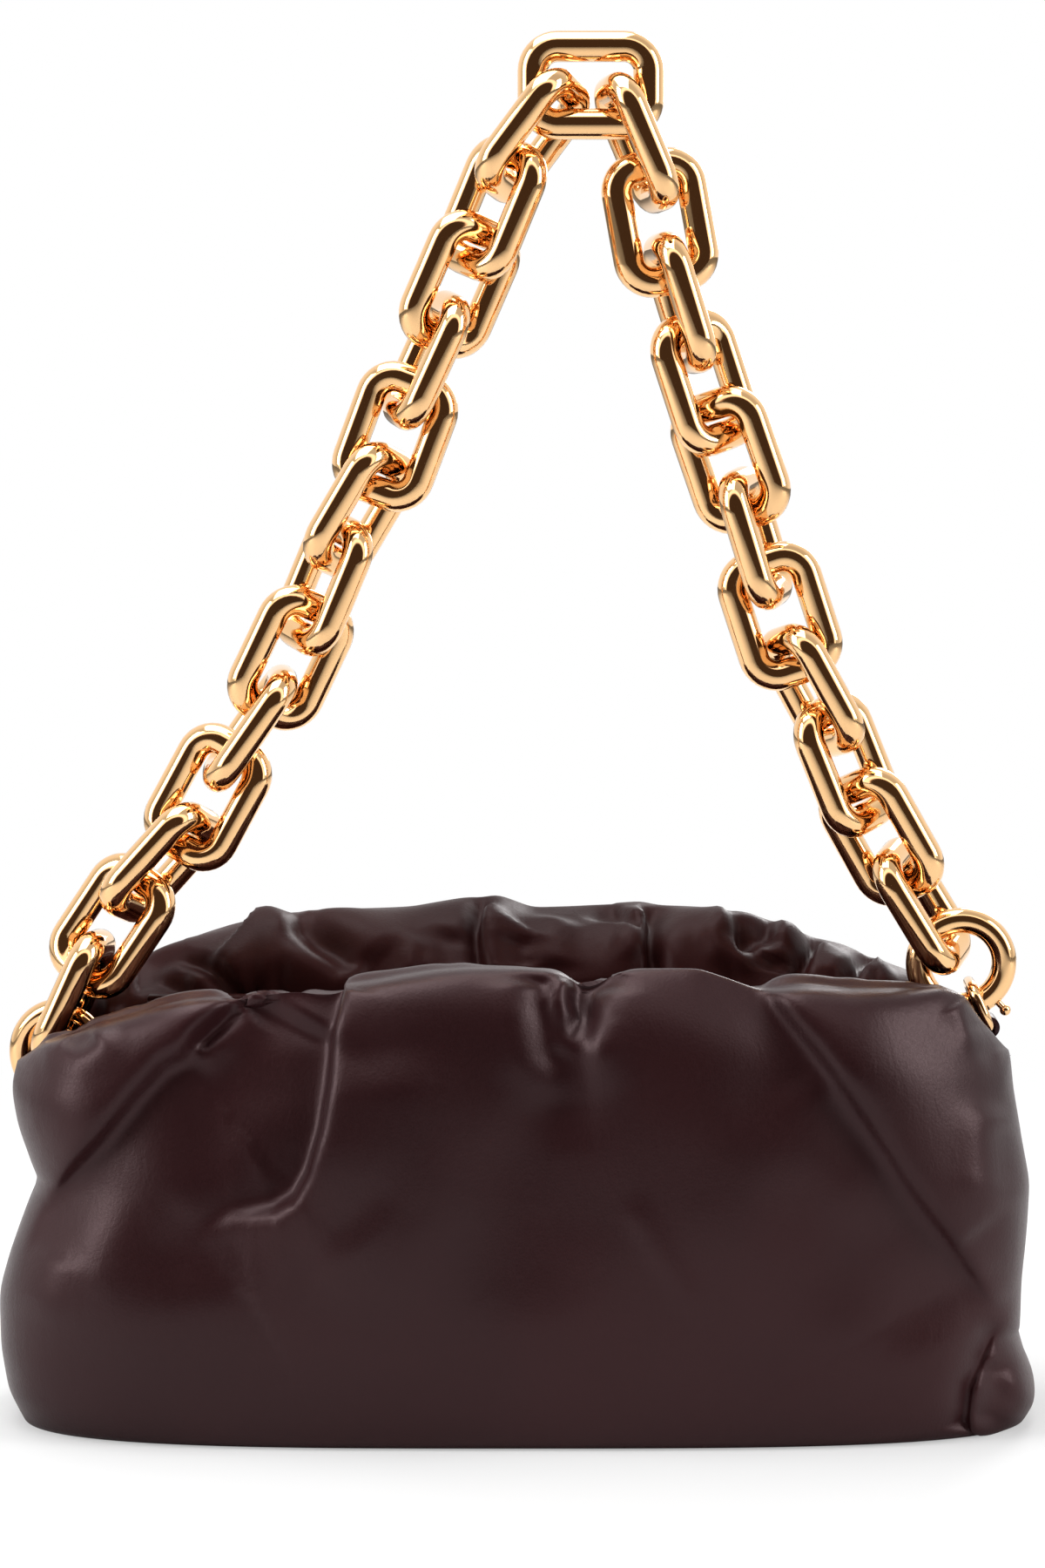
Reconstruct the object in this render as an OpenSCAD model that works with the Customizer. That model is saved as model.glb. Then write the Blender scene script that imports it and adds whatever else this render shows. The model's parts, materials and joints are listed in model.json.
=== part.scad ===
// Gathered soft-leather frame pouch on a chunky link chain, in millimetres.
// It stands on its base: +Z is up, the front faces -Y and x = 0 is the middle.
// Inside the leather a steel jaw frame opens on two pins; the chain hangs in
// two round spring clasps, each on a ring that a leather tab holds.

/* [Pouch] */
// Width of the leather body over its side seams
body_w = 310; // [290:1:330]
// Depth of the leather body at its belly
body_d = 120; // [112:1:130]
// Height of the front panel's gathered crest
front_h = 140; // [134:1:148]
// Height of the back panel's gathered crest
back_h = 152; // [144:1:160]
// Thickness of the outer leather with its padding
leather_t = 2.4; // [2:0.1:3]
// Thickness of the mouth facings
facing_t = 2; // [1.4:0.1:2.4]
// Thickness of the lining
lining_t = 1.6; // [1.2:0.1:2]
// Thickness of the leather base
base_t = 2.4; // [2:0.1:3]
// Thickness of the stiffening board on the base
board_t = 2; // [1.2:0.1:3]

/* [Frame] */
// Gap between the jaw frame's outer arms and the right clasp
frame_gap = 5.1; // [4.5:0.1:12]
// Height of the jaw pins above the floor
pivot_z = 70; // [62:1:76]
// Height of the jaws above their pins
jaw_h = 56; // [48:1:58]
// Thickness of the jaw bars, front to back
jaw_t = 4; // [3:0.2:5]
// Height of the jaw bars' section
jaw_section = 8; // [7:0.5:10]
// Thickness of the jaw arms
arm_t = 4; // [3:0.2:5]
// Diameter of the jaw pins
pin_d = 4; // [3:0.2:5]
// Gap between the two closed jaw bars
jaw_gap = 4; // [3.4:0.2:5]
// Diameter of the closing magnets
magnet_d = 7; // [5:0.5:7]
// Thickness of the closing magnets
magnet_t = 1.5; // [1:0.1:1.5]

/* [Chain] */
// Length of a chain link over its ends
link_l = 43.5; // [42:0.5:46]
// Width of a chain link
link_w = 32; // [31:0.5:34]
// Diameter of the links' round wire
wire_d = 9.2; // [8.4:0.1:9.4]
// Radius of the links' corners at the middle of the wire
link_corner_r = 7.2; // [6:0.2:8]
// Play left between two hanging links
link_play = 0.5; // [0.4:0.1:0.8]

/* [Clasps] */
// Outer diameter of the round spring clasps
clasp_d = 33.6; // [32:0.2:35]
// Diameter of the clasps' tube
tube_d = 7.6; // [7:0.2:8]
// Diameter of the sliding bolt in a clasp
bolt_d = 5; // [4:0.2:5.2]
// Diameter of the ball on a clasp's lever
ball_d = 3.4; // [3:0.1:4]
// Diameter of the lever's stem
stem_d = 2; // [1.6:0.1:2.4]
// Length of the lever's stem outside the tube
stem_l = 3; // [2.4:0.1:4]
// Diameter of the tab rings' wire
tab_ring_wire = 3.5; // [3:0.1:4]
// Inner width of the tab rings
tab_ring_w = 14.6; // [13.6:0.2:15]
// Play between a clasp and the leather tab folded round its ring
tab_ring_play = 0.5; // [0.4:0.1:1]
// Width of the leather tabs
tab_w = 11; // [9:0.5:11]
// Thickness of one layer of a leather tab
tab_layer_t = 1.5; // [1.2:0.1:1.8]
// Length of the leather tabs below their rings
tab_l = 22; // [20:1:26]
// Diameter of the tab rivets
rivet_d = 4; // [3:0.2:5]

/* [Hidden] */
left_count = 13;
right_count = 11;
$fn = 48;

leather_colour = [0.24, 0.14, 0.15];
facing_colour = [0.2, 0.11, 0.12];
lining_colour = [0.35, 0.25, 0.23];
board_colour = [0.62, 0.52, 0.4];
steel_colour = [0.7, 0.7, 0.72];
gold_colour = [0.86, 0.68, 0.36];

// Clearances: soft piece to its neighbour, running fit, seat, and a cut's overrun
soft_gap = 0.4;
running_gap = 0.1;
side_gap = 0.3;
seat_gap = 0.05;
overrun = 1;

half_w = body_w / 2;
half_d = body_d / 2;

// Places of the clasps' middles from the ends of the body and the front crest
clasp_r = (clasp_d - tube_d) / 2;
right_clasp_inset = 20.8;
right_clasp_drop = 3.2;
left_clasp_inset = 16.4;
left_clasp_drop = 31;
right_clasp = [half_w - right_clasp_inset, front_h - right_clasp_drop];
left_clasp = [left_clasp_inset - half_w, front_h - left_clasp_drop];
// Both crests come down at the seams to notches under the clasps
left_notch_gap = 2.5;
right_notch_gap = 10;
left_notch_z = left_clasp[1] - clasp_d / 2 - left_notch_gap;
right_notch_z = right_clasp[1] - clasp_d / 2 - right_notch_gap;
frame_w = 2 * (right_clasp[0] - clasp_d / 2 - frame_gap);

// Leather shapes: steps round a panel and up it
round_steps = 44;
rise_steps = 13;
facing_steps = 4;
// Squareness of the body's plan, and how the belly stands over base and crest
plan_power = 3.3;
belly_share = 0.4;
base_depth_share = 0.84;
crest_depth_share = 0.66;
belly_start_angle = -78;
fold_start_share = 0.2;
fold_end_share = 0.12;

// Crest height as shares from the seams' notches to the panel's own height, front and back
front_crest_shares = [
    [-1, 0], [-0.9, 0], [-0.84, 0.165], [-0.78, 0.249], [-0.72, 0.332], [-0.667, 0.513], [-0.6, 0.569],
    [-0.5, 0.66], [-0.42, 0.763], [-0.33, 0.816], [-0.25, 0.864], [-0.14, 0.934], [-0.06, 1], [0.05, 0.989],
    [0.075, 0.928], [0.09, 0.844], [0.11, 0.945], [0.15, 1], [0.23, 1], [0.27, 0.921], [0.31, 0.828],
    [0.35, 0.861], [0.4, 0.807], [0.53, 0.82], [0.58, 0.751], [0.667, 0.533], [0.78, 0.207], [0.89, 0.067],
    [1, 0]];
back_crest_shares = [
    [-1, 0], [-0.85, 0], [-0.78, 0.122], [-0.7, 0.244], [-0.667, 0.341], [-0.6, 0.488], [-0.556, 0.556],
    [-0.46, 0.675], [-0.38, 0.808], [-0.32, 0.894], [-0.22, 0.946], [-0.13, 0.964], [-0.06, 1], [-0.02, 1],
    [0.02, 0.953], [0.08, 0.97], [0.16, 0.994], [0.18, 0.969], [0.275, 0.917], [0.345, 0.777],
    [0.39, 0.713], [0.435, 0.617], [0.47, 0.546], [0.54, 0.435], [0.62, 0.349], [0.72, 0.24], [0.85, 0.095],
    [1, 0]];
// Half width of the body as shares, up the left end and up the right end
left_end_shares = [
    [0, 0.87], [0.04, 0.93], [0.12, 0.98], [0.22, 0.995], [0.33, 1], [0.47, 0.965],
    [0.57, 0.955], [0.64, 0.955], [0.76, 0.978], [0.83, 0.965], [1, 0.95]];
right_end_shares = [
    [0, 0.88], [0.04, 0.95], [0.12, 1], [0.24, 0.965], [0.38, 0.972], [0.5, 0.982],
    [0.62, 0.975], [0.76, 0.956], [0.85, 0.94], [1, 0.92]];
// Gathered folds: place along the panel at the top and at the bottom, where the fold
// starts and ends up the panel, its half width, and how far it stands out of the belly
front_fold_shares = [
    [-0.33, -0.98, 0.1, 1, 0.07, 0.05], [-0.16, -0.36, 0.4, 0.96, 0.035, 0.045],
    [0.09, 0.02, 0.45, 1, 0.05, -0.06], [0.31, 0.82, 0.3, 1, 0.06, 0.055],
    [0.62, 0.66, 0.35, 1, 0.05, -0.035]];
back_fold_shares = [
    [-0.36, -0.2, 0.3, 1, 0.06, 0.05], [-0.03, 0.02, 0.35, 1, 0.05, -0.06],
    [0.17, 0.3, 0.4, 1, 0.05, 0.04], [0.42, 0.5, 0.3, 1, 0.06, -0.05]];

notch_turn_share = 0.6;
notch_heights = [[-notch_turn_share, left_notch_z], [notch_turn_share, right_notch_z]];
function mix(a, b, s) = a + (b - a) * s;
function crest_z(u, side) = mix(lookup(u, notch_heights), side < 0 ? front_h : back_h,
                                lookup(u, side < 0 ? front_crest_shares : back_crest_shares));
function plan_size(a) = pow(pow(abs(sin(a)), plan_power) + pow(abs(cos(a)), plan_power), 1 / plan_power);
// Points on the squared plan: share of the half width, and share of the depth
function across(u) = sin(90 * u) / plan_size(90 * u);
function depth(u) = abs(u) >= 1 ? 0 : cos(90 * u) / plan_size(90 * u);
function end_share(u, z_share) = u < 0 ? lookup(z_share, left_end_shares) : lookup(z_share, right_end_shares);
function fold_sum(u, rise, folds) = len(folds) == 0 ? 0 : [for (f = folds) 1] * [for (f = folds)
    f[5] * exp(-pow((u - mix(f[1], f[0], rise)) / f[4], 2))
         * max(0, min(1, (rise - f[2]) / fold_start_share, (f[3] - rise) / fold_end_share + 1))];

// A point of the outer leather: u runs from the left seam to the right, angle from base to crest
function skin(u, angle, side, inset) =
    let (h = crest_z(u, side),
         belly_z = belly_share * h,
         rise = (angle - belly_start_angle) / (90 - belly_start_angle),
         z = angle < 0 ? belly_z * (1 + sin(angle)) : belly_z + (h - belly_z) * sin(angle),
         radial = angle < 0 ? mix(base_depth_share, 1, sqrt(cos(angle))) : mix(crest_depth_share, 1, cos(angle)),
         folded = radial + fold_sum(u, rise, side < 0 ? front_fold_shares : back_fold_shares),
         x = (half_w * end_share(u, z / max(front_h, h)) - inset) * across(u),
         y = (half_d * folded - inset) * depth(u))
    [x, side * (y + soft_gap / 2), z];
// The same point moved inwards through the leather, square to the crest's run
function inner_skin(u, angle, side) =
    let (p = skin(u, angle, side, leather_t),
         drop = angle > 0 ? leather_t * sin(angle) : 0)
    [p[0], p[1], p[2] - drop];

// Faces of a closed sheet: two grids of points, the second behind the first
function grid_faces(rows, cols, base, flip) = [for (i = [0:rows - 2], j = [0:cols - 2], k = [0, 1])
    let (a = base + i * cols + j, b = a + 1, c = a + cols, d = c + 1,
         f = k == 0 ? [a, b, d] : [a, d, c])
    flip ? [f[2], f[1], f[0]] : f];
function edge_faces(ring, shift) = [for (i = [0:len(ring) - 1], k = [0, 1])
    let (a = ring[i], b = ring[(i + 1) % len(ring)])
    k == 0 ? [b, a, a + shift] : [b, a + shift, b + shift]];
function rim(rows, cols) = concat(
    [for (j = [0:cols - 1]) j],
    [for (i = [1:rows - 1]) i * cols + cols - 1],
    [for (j = [cols - 2:-1:0]) (rows - 1) * cols + j],
    [for (i = [rows - 2:-1:1]) i * cols]);
module sheet(outer, inner, turn) {
    rows = len(outer);
    cols = len(outer[0]);
    count = rows * cols;
    points = [for (g = [outer, inner], row = g, p = row) p];
    faces = concat(grid_faces(rows, cols, 0, turn), grid_faces(rows, cols, count, !turn),
        [for (f = edge_faces(rim(rows, cols), count)) turn ? [f[2], f[1], f[0]] : f]);
    polyhedron(points, faces);
}

module panel(side) {
    angles = [for (j = [0:rise_steps]) mix(belly_start_angle, 90, j / rise_steps)];
    us = [for (i = [0:round_steps]) mix(-1, 1, i / round_steps)];
    sheet([for (a = angles) [for (u = us) skin(u, a, side, 0)]],
          [for (a = angles) [for (u = us) inner_skin(u, a, side)]], side > 0);
}
module outer_front_panel() {
    color(leather_colour) panel(-1);
}
module outer_back_panel() {
    color(leather_colour) panel(1);
}

// The jaws' places: bars at the top, arms side by side on one pin
bar_z = pivot_z + jaw_h;
bar_y = jaw_gap / 2;
back_arm_x = frame_w / 2 - arm_t;
front_arm_x = back_arm_x - side_gap - arm_t;

// Facings hang from the crests into the mouth, to the jaw bars and to the tabs at the ends
facing_end_u = 0.7;
facing_floor_shares = [
    [-1, 0.55], [-0.56, 0.6], [-0.48, 0.8], [-0.42, 1], [0.42, 1], [0.5, 0.84], [0.6, 0.76], [1, 0.74]];
tab_room_shares = [[-1, 1], [-0.5, 1], [-0.4, 0], [0.42, 0], [0.52, 1], [1, 1]];
facing_foot_z = bar_z - jaw_section;
facing_slope = facing_t / sqrt(2);
function facing_point(u, s, side, inward) =
    let (crest = skin(u, 90, side, leather_t + soft_gap),
         floor_z = facing_foot_z * lookup(u, facing_floor_shares),
         room = mix(bar_y + jaw_t + side_gap, tab_w / 2 + tab_ring_wire, lookup(u, tab_room_shares)),
         y = mix(abs(crest[1]), room, s) + inward,
         arch = facing_t * sin(180 * s) - inward)
    [crest[0], side * y, mix(crest[2] - leather_t - soft_gap, floor_z, pow(s, 1.3)) + arch];
module facing(side) {
    us = [for (i = [0:round_steps]) mix(-facing_end_u, facing_end_u, i / round_steps)];
    steps = [for (j = [0:facing_steps]) j / facing_steps];
    sheet([for (s = steps) [for (u = us) facing_point(u, s, side, 0)]],
          [for (s = steps) [for (u = us) facing_point(u, s, side, facing_slope)]], side < 0);
}
module front_facing() {
    color(facing_colour) facing(-1);
}
module back_facing() {
    color(facing_colour) facing(1);
}

// Base and board fill the plan between the panels' lower edges
base_steps = 28;
function base_outline(inset) = [for (side = [-1, 1], i = [0:base_steps - 1])
    let (u = side * mix(-1, 1, i / base_steps),
         p = skin(u, belly_start_angle, side, leather_t + soft_gap + inset))
    [p[0], p[1]]];
module base_panel() {
    color(leather_colour) linear_extrude(base_t) polygon(base_outline(0));
}
board_inset = 3;
module base_board() {
    color(board_colour) translate([0, 0, base_t + seat_gap])
        linear_extrude(board_t) polygon(base_outline(board_inset));
}

// The lining is a soft sack that narrows to pass between the jaw arms
lining_floor_z = base_t + board_t + 2 * seat_gap + soft_gap;
lining_top_z = facing_foot_z - facing_slope - soft_gap;
lining_steps = 40;
pin_head_t = 1.4;
lining_rise = 10;
lining_neck_w = front_arm_x - soft_gap - pin_head_t - side_gap;
lining_wide_shares = [[0, 0.8], [0.06, 0.86], [0.3, 0.86], [0.5, 0], [1, 0]];
lining_depth_shares = [[0, 0.74], [0.06, 0.82], [0.35, 0.9], [0.6, 0.8], [0.85, 0.42], [1, 0.16]];
function lining_half(s) =
    let (wide = lookup(s, lining_wide_shares))
    wide == 0 ? lining_neck_w : max(lining_neck_w, half_w * wide);
function lining_point(a, s, inset, lift) =
    [(lining_half(s) - inset) * sin(a) / plan_size(a),
     -(half_d * lookup(s, lining_depth_shares) - inset) * cos(a) / plan_size(a),
     mix(lining_floor_z, lining_top_z, s) + lift];
module lining() {
    ring = [for (i = [0:lining_steps - 1]) 360 * i / lining_steps];
    rises = [for (j = [0:lining_rise]) j / lining_rise];
    outer = [for (s = rises) [for (a = ring) lining_point(a, s, 0, 0)]];
    inner = [for (s = rises) [for (a = ring) lining_point(a, s, lining_t, s == 0 ? lining_t : 0)]];
    points = concat([for (row = outer, p = row) p], [for (row = inner, p = row) p],
        [[0, 0, lining_floor_z], [0, 0, lining_floor_z + lining_t]]);
    n = lining_steps;
    count = n * (lining_rise + 1);
    function side_faces(base, flip) = [for (j = [0:lining_rise - 1], i = [0:n - 1], k = [0, 1])
        let (a = base + j * n + i, b = base + j * n + (i + 1) % n, f = k == 0 ? [a, b, b + n] : [a, b + n, a + n])
        flip ? [f[2], f[1], f[0]] : f];
    top = lining_rise * n;
    faces = concat(side_faces(0, true), side_faces(count, false),
        [for (i = [0:n - 1], k = [0, 1]) let (a = top + i, b = top + (i + 1) % n)
            k == 0 ? [b, a, a + count] : [b, a + count, b + count]],
        [for (i = [0:n - 1]) [2 * count, i, (i + 1) % n]],
        [for (i = [0:n - 1]) [2 * count + 1, count + (i + 1) % n, count + i]]);
    color(lining_colour) polyhedron(points, faces);
}

// The slip pocket is a sheet on the lining's back wall
pocket_w = 120;
pocket_low_steps = 2;
pocket_high_steps = 6;
pocket_steps = 12;
pocket_squareness_share = 0.72;
pocket_half_angle = atan(pocket_w / 2 / lining_neck_w) * pocket_squareness_share;
module slip_pocket() {
    as = [for (i = [0:pocket_steps]) 180 + mix(-1, 1, i / pocket_steps) * pocket_half_angle];
    ss = [for (j = [pocket_low_steps:pocket_high_steps]) j / lining_rise];
    inset = lining_t + soft_gap;
    color(lining_colour) sheet(
        [for (s = ss) [for (a = as) lining_point(a, s, inset, 0)]],
        [for (s = ss) [for (a = as) lining_point(a, s, inset + lining_t, 0)]], false);
}

// Jaw bars: a straight bar on two arms with an eye on the pin
arm_w = 7;
eye_wall = 3;
eye_d = pin_d + 2 * eye_wall;
module side_plate(x, t) {
    translate([x, 0, 0]) rotate([90, 0, 90]) linear_extrude(t) children();
}
module jaw_arm(x, side) {
    difference() {
        union() {
            side_plate(x, arm_t)
                polygon([[-arm_w / 2, pivot_z], [arm_w / 2, pivot_z],
                         [side < 0 ? -bar_y : bar_y + jaw_t, bar_z - jaw_section + seat_gap],
                         [side < 0 ? -bar_y - jaw_t : bar_y, bar_z - jaw_section + seat_gap]]);
            side_plate(x, arm_t) translate([0, pivot_z]) circle(d = eye_d);
        }
        side_plate(x - overrun, arm_t + 2 * overrun)
            translate([0, pivot_z]) circle(d = pin_d + running_gap);
    }
}
module jaw_bar(arm_x, side) {
    reach = arm_x + arm_t;
    translate([-reach, side < 0 ? -bar_y - jaw_t : bar_y, bar_z - jaw_section])
        cube([2 * reach, jaw_t, jaw_section]);
    jaw_arm(arm_x, side);
    jaw_arm(-reach, side);
}
module front_jaw_bar() {
    color(steel_colour) jaw_bar(front_arm_x, -1);
}
module back_jaw_bar() {
    color(steel_colour) jaw_bar(back_arm_x, 1);
}
pin_head_share = 1.75;
pin_head_d = pin_d * pin_head_share;
module jaw_pin() {
    translate([front_arm_x - side_gap, 0, pivot_z]) rotate([0, 90, 0]) {
        cylinder(d = pin_d, h = 2 * arm_t + 3 * side_gap);
        translate([0, 0, -pin_head_t]) cylinder(d = pin_head_d, h = pin_head_t);
        translate([0, 0, 2 * arm_t + 3 * side_gap]) cylinder(d = pin_head_d, h = pin_head_t);
    }
}
module left_jaw_pin() {
    color(steel_colour) mirror([1, 0, 0]) jaw_pin();
}
module right_jaw_pin() {
    color(steel_colour) jaw_pin();
}
module magnet(side) {
    translate([0, side * bar_y, bar_z - jaw_section / 2])
        rotate([side * 90, 0, 0]) cylinder(d = magnet_d, h = magnet_t);
}
module front_magnet() {
    color(steel_colour) magnet(-1);
}
module back_magnet() {
    color(steel_colour) magnet(1);
}

// Clasps: the directions in which they hold the last link and hang on their tab ring
right_hook_angle = 139;
left_hook_angle = 150;
right_ring_angle = -67;
left_ring_angle = -78;
right_gate_angle = 223;
left_gate_angle = -70;
left_clasp_turn = 16;
gate_angle = 38;
full_turn_angle = 360;
bolt_tip_angle = 6;
lever_lead_angle = 52;
bolt_tail_angle = 62;
lever_travel_angle = 46;
spring_angle = 112;
lever_slot_play = 0.4;
lever_slot_angle = 5;
bore_angle = 2;
spring_end_angle = 1;

// The clasp lies in its own plane, middle at zero, angles counted from +X towards +Z
module arc_rod(d, from, to) {
    rotate([90, 0, 0]) rotate([0, 0, from])
        rotate_extrude(angle = to - from) translate([clasp_r, 0]) circle(d = d);
}
module clasp_tube(gate) {
    bore = bolt_d + 2 * running_gap;
    difference() {
        arc_rod(tube_d, gate + gate_angle, gate + full_turn_angle);
        arc_rod(bore, gate - bolt_tip_angle - bore_angle, gate + bore_angle);
        arc_rod(bore, gate + gate_angle - bore_angle, gate + gate_angle + spring_angle);
        rotate([90, 0, 0]) rotate([0, 0, gate + gate_angle + lever_lead_angle - lever_slot_angle])
            rotate_extrude(angle = lever_travel_angle + 2 * lever_slot_angle)
            translate([clasp_r, -(stem_d + 2 * lever_slot_play) / 2])
            square([tube_d, stem_d + 2 * lever_slot_play]);
    }
}
module clasp_bolt(gate) {
    difference() {
        arc_rod(bolt_d, gate - bolt_tip_angle, gate + gate_angle + bolt_tail_angle);
        lever_seat(gate) translate([0, 0, -bolt_d]) cylinder(d = stem_d + running_gap, h = 2 * bolt_d);
    }
}
// The lever's own frame: +Z points outwards along the stem, zero is the middle of the bolt
module lever_seat(gate) {
    lever = gate + gate_angle + lever_lead_angle;
    rotate([0, -lever, 0]) translate([clasp_r, 0, 0]) rotate([0, 90, 0]) children();
}
module clasp_lever(gate) {
    lever_seat(gate) {
        cylinder(d = stem_d, h = tube_d / 2 + stem_l);
        translate([0, 0, tube_d / 2 + stem_l]) sphere(d = ball_d);
    }
}
module clasp_spring(gate) {
    coil_d = bolt_d - running_gap;
    difference() {
        arc_rod(coil_d, gate + gate_angle + bolt_tail_angle + spring_end_angle,
                gate + gate_angle + spring_angle - spring_end_angle);
        arc_rod(coil_d / 2, gate + gate_angle + bolt_tail_angle, gate + gate_angle + spring_angle);
    }
}
// The left clasp is turned over, so its gate and its lever run the other way round
module at_left_clasp() {
    translate([left_clasp[0], 0, left_clasp[1]]) rotate([0, 0, -left_clasp_turn]) mirror([0, 0, 1]) children();
}
module at_right_clasp() {
    translate([right_clasp[0], 0, right_clasp[1]]) children();
}
module left_clasp_tube() {
    color(gold_colour) at_left_clasp() clasp_tube(left_gate_angle);
}
module right_clasp_tube() {
    color(gold_colour) at_right_clasp() clasp_tube(right_gate_angle);
}
module left_clasp_bolt() {
    color(gold_colour) at_left_clasp() clasp_bolt(left_gate_angle);
}
module right_clasp_bolt() {
    color(gold_colour) at_right_clasp() clasp_bolt(right_gate_angle);
}
module left_clasp_lever() {
    color(gold_colour) at_left_clasp() clasp_lever(left_gate_angle);
}
module right_clasp_lever() {
    color(gold_colour) at_right_clasp() clasp_lever(right_gate_angle);
}
module left_clasp_spring() {
    color(steel_colour) at_left_clasp() clasp_spring(left_gate_angle);
}
module right_clasp_spring() {
    color(steel_colour) at_right_clasp() clasp_spring(right_gate_angle);
}

// Tab ring: a rounded loop through the clasp; its straight bar lies in the leather tab
ring_top = clasp_r - tube_d / 2 - side_gap - tab_ring_wire / 2;
tab_hole_r = tab_ring_wire / 2 + running_gap;
tab_ring_l = clasp_d / 2 + tab_ring_play + tab_hole_r + tab_layer_t - ring_top;
tab_ring_bend_share = 0.28;
function ring_bar(clasp, angle) = [clasp[0] + (ring_top + tab_ring_l) * cos(angle),
                                   clasp[1] + (ring_top + tab_ring_l) * sin(angle)];
left_bar = ring_bar(left_clasp, left_ring_angle);
right_bar = ring_bar(right_clasp, right_ring_angle);
// A tab leans out until its foot or its rivet meets the leather of the side seam
rivet_drop_share = 0.6;
rivet_head_share = 1.5;
rivet_drop = tab_l * rivet_drop_share;
rivet_head_t = tab_layer_t / 2;
tab_wall_gap = 0.9;
function seam_wall(side, z) = half_w * end_share(side, z / front_h) - leather_t - tab_wall_gap - tab_layer_t;
function tab_lean(bar, side) = min(
    asin((seam_wall(side, bar[1] - tab_l) - side * bar[0]) / tab_l),
    asin((seam_wall(side, bar[1] - rivet_drop) - rivet_head_t - side * bar[0]) / rivet_drop));
module tab_ring(clasp, angle) {
    half = (tab_ring_w + tab_ring_wire) / 2;
    // Seen from the clasp's middle, +X runs down to the bar and Y across the ring
    translate([clasp[0], 0, clasp[1]]) rotate([0, -angle, 0]) translate([ring_top, 0, 0])
        rounded_loop(tab_ring_l, 2 * half, tab_ring_wire, tab_ring_l * tab_ring_bend_share);
}
// A closed loop of round wire from x = 0 to x = length, middle of the wire, with round corners
module rounded_loop(length, width, wire, bend) {
    for (y = [-1, 1], x = [0, 1])
        translate([x == 0 ? bend : length - bend, y * (width / 2 - bend), 0])
            rotate([0, 0, x == 0 ? (y < 0 ? 180 : 90) : (y < 0 ? 270 : 0)])
            rotate_extrude(angle = 90) translate([bend, 0]) circle(d = wire);
    for (y = [-1, 1])
        translate([bend, y * width / 2, 0]) rotate([0, 90, 0]) cylinder(d = wire, h = length - 2 * bend);
    for (x = [0, length])
        translate([x, bend - width / 2, 0]) rotate([-90, 0, 0]) cylinder(d = wire, h = width - 2 * bend);
}
module left_tab_ring() {
    color(gold_colour) tab_ring(left_clasp, left_ring_angle);
}
module right_tab_ring() {
    color(gold_colour) tab_ring(right_clasp, right_ring_angle);
}

// Leather tab: a strap folded round the ring's bar and riveted, leaning out to the side seam
module tab(bar, side) {
    strap = 2 * tab_layer_t;
    translate([bar[0], -tab_w / 2, bar[1]]) rotate([0, -side * tab_lean(bar, side), 0])
        rotate([-90, 0, 0]) difference() {
            linear_extrude(tab_w) difference() {
                union() {
                    circle(r = tab_hole_r + tab_layer_t);
                    translate([-strap / 2, 0]) square([strap, tab_l]);
                }
                circle(r = tab_hole_r);
            }
            translate([-strap, rivet_drop, tab_w / 2]) rotate([0, 90, 0])
                cylinder(d = rivet_d, h = 2 * strap);
        }
}
module tab_rivet(bar, side) {
    strap = 2 * tab_layer_t;
    translate([bar[0], 0, bar[1]]) rotate([0, -side * tab_lean(bar, side), 0])
        translate([-strap / 2 - rivet_head_t, 0, -rivet_drop]) rotate([0, 90, 0]) {
            cylinder(d = rivet_d, h = strap + 2 * rivet_head_t);
            cylinder(d = rivet_d * rivet_head_share, h = rivet_head_t);
            translate([0, 0, strap + rivet_head_t]) cylinder(d = rivet_d * rivet_head_share, h = rivet_head_t);
        }
}
module left_tab() {
    color(leather_colour) tab(left_bar, -1);
}
module right_tab() {
    color(leather_colour) tab(right_bar, 1);
}
module left_tab_rivet() {
    color(gold_colour) tab_rivet(left_bar, -1);
}
module right_tab_rivet() {
    color(gold_colour) tab_rivet(right_bar, 1);
}

// Chain: how far each link leans from the vertical and how far it is rolled about its own
// length, from the top link down each side. The leans are eased or tightened together so
// that both sides reach the top link at one height.
left_lean_angles = [36, 22, 23, 24, 20, 30, 22, 25, 34, 28, 41, 33, 24];
right_lean_angles = [24, 11, 18, 19, 20, 18, 19, 30, 23, 31, 33];
left_roll_angles = [-62, 46, -32, 73, 11, -56, 56, -26, 85, 20, -61, 30, -81];
right_roll_angles = [76, -9, 79, -40, 27, -73, -1, 64, -45, 36, -67];
link_half = (link_l - wire_d) / 2;
link_side = (link_w - wire_d) / 2;
hang = wire_d + link_play;
hook_drop = (wire_d + tube_d) / 2 + link_play;
// The first links' bars lie in the top link's lower corners, clear of its end and its side
nest = wire_d + 2 * link_play;
nest_x = link_half - nest;

// Where the last link's lower bar lies inside its clasp
function hook(clasp, angle, turn) = [clasp[0] + (clasp_r - hook_drop) * cos(angle) * cos(turn),
                                     clasp[1] + (clasp_r - hook_drop) * sin(angle)];
left_hook = hook(left_clasp, left_hook_angle, left_clasp_turn);
right_hook = hook(right_clasp, right_hook_angle, 0);
function reaches(n) = [for (i = [0:n - 1])
    2 * link_half - hang + (i == 0 || i == n - 1 ? hang / 2 : 0)];
function run_across(leans) = reaches(len(leans)) * [for (a = leans) sin(a)];
function run_up(leans, k) = reaches(len(leans)) * [for (a = leans) sqrt(1 - pow(k * sin(a), 2))];
function left_ease(x) = (x - nest_x - left_hook[0]) / run_across(left_lean_angles);
function right_ease(x) = (right_hook[0] - x - nest_x) / run_across(right_lean_angles);
function height_gap(x) = left_hook[1] + run_up(left_lean_angles, left_ease(x))
                       - right_hook[1] - run_up(right_lean_angles, right_ease(x));
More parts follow.
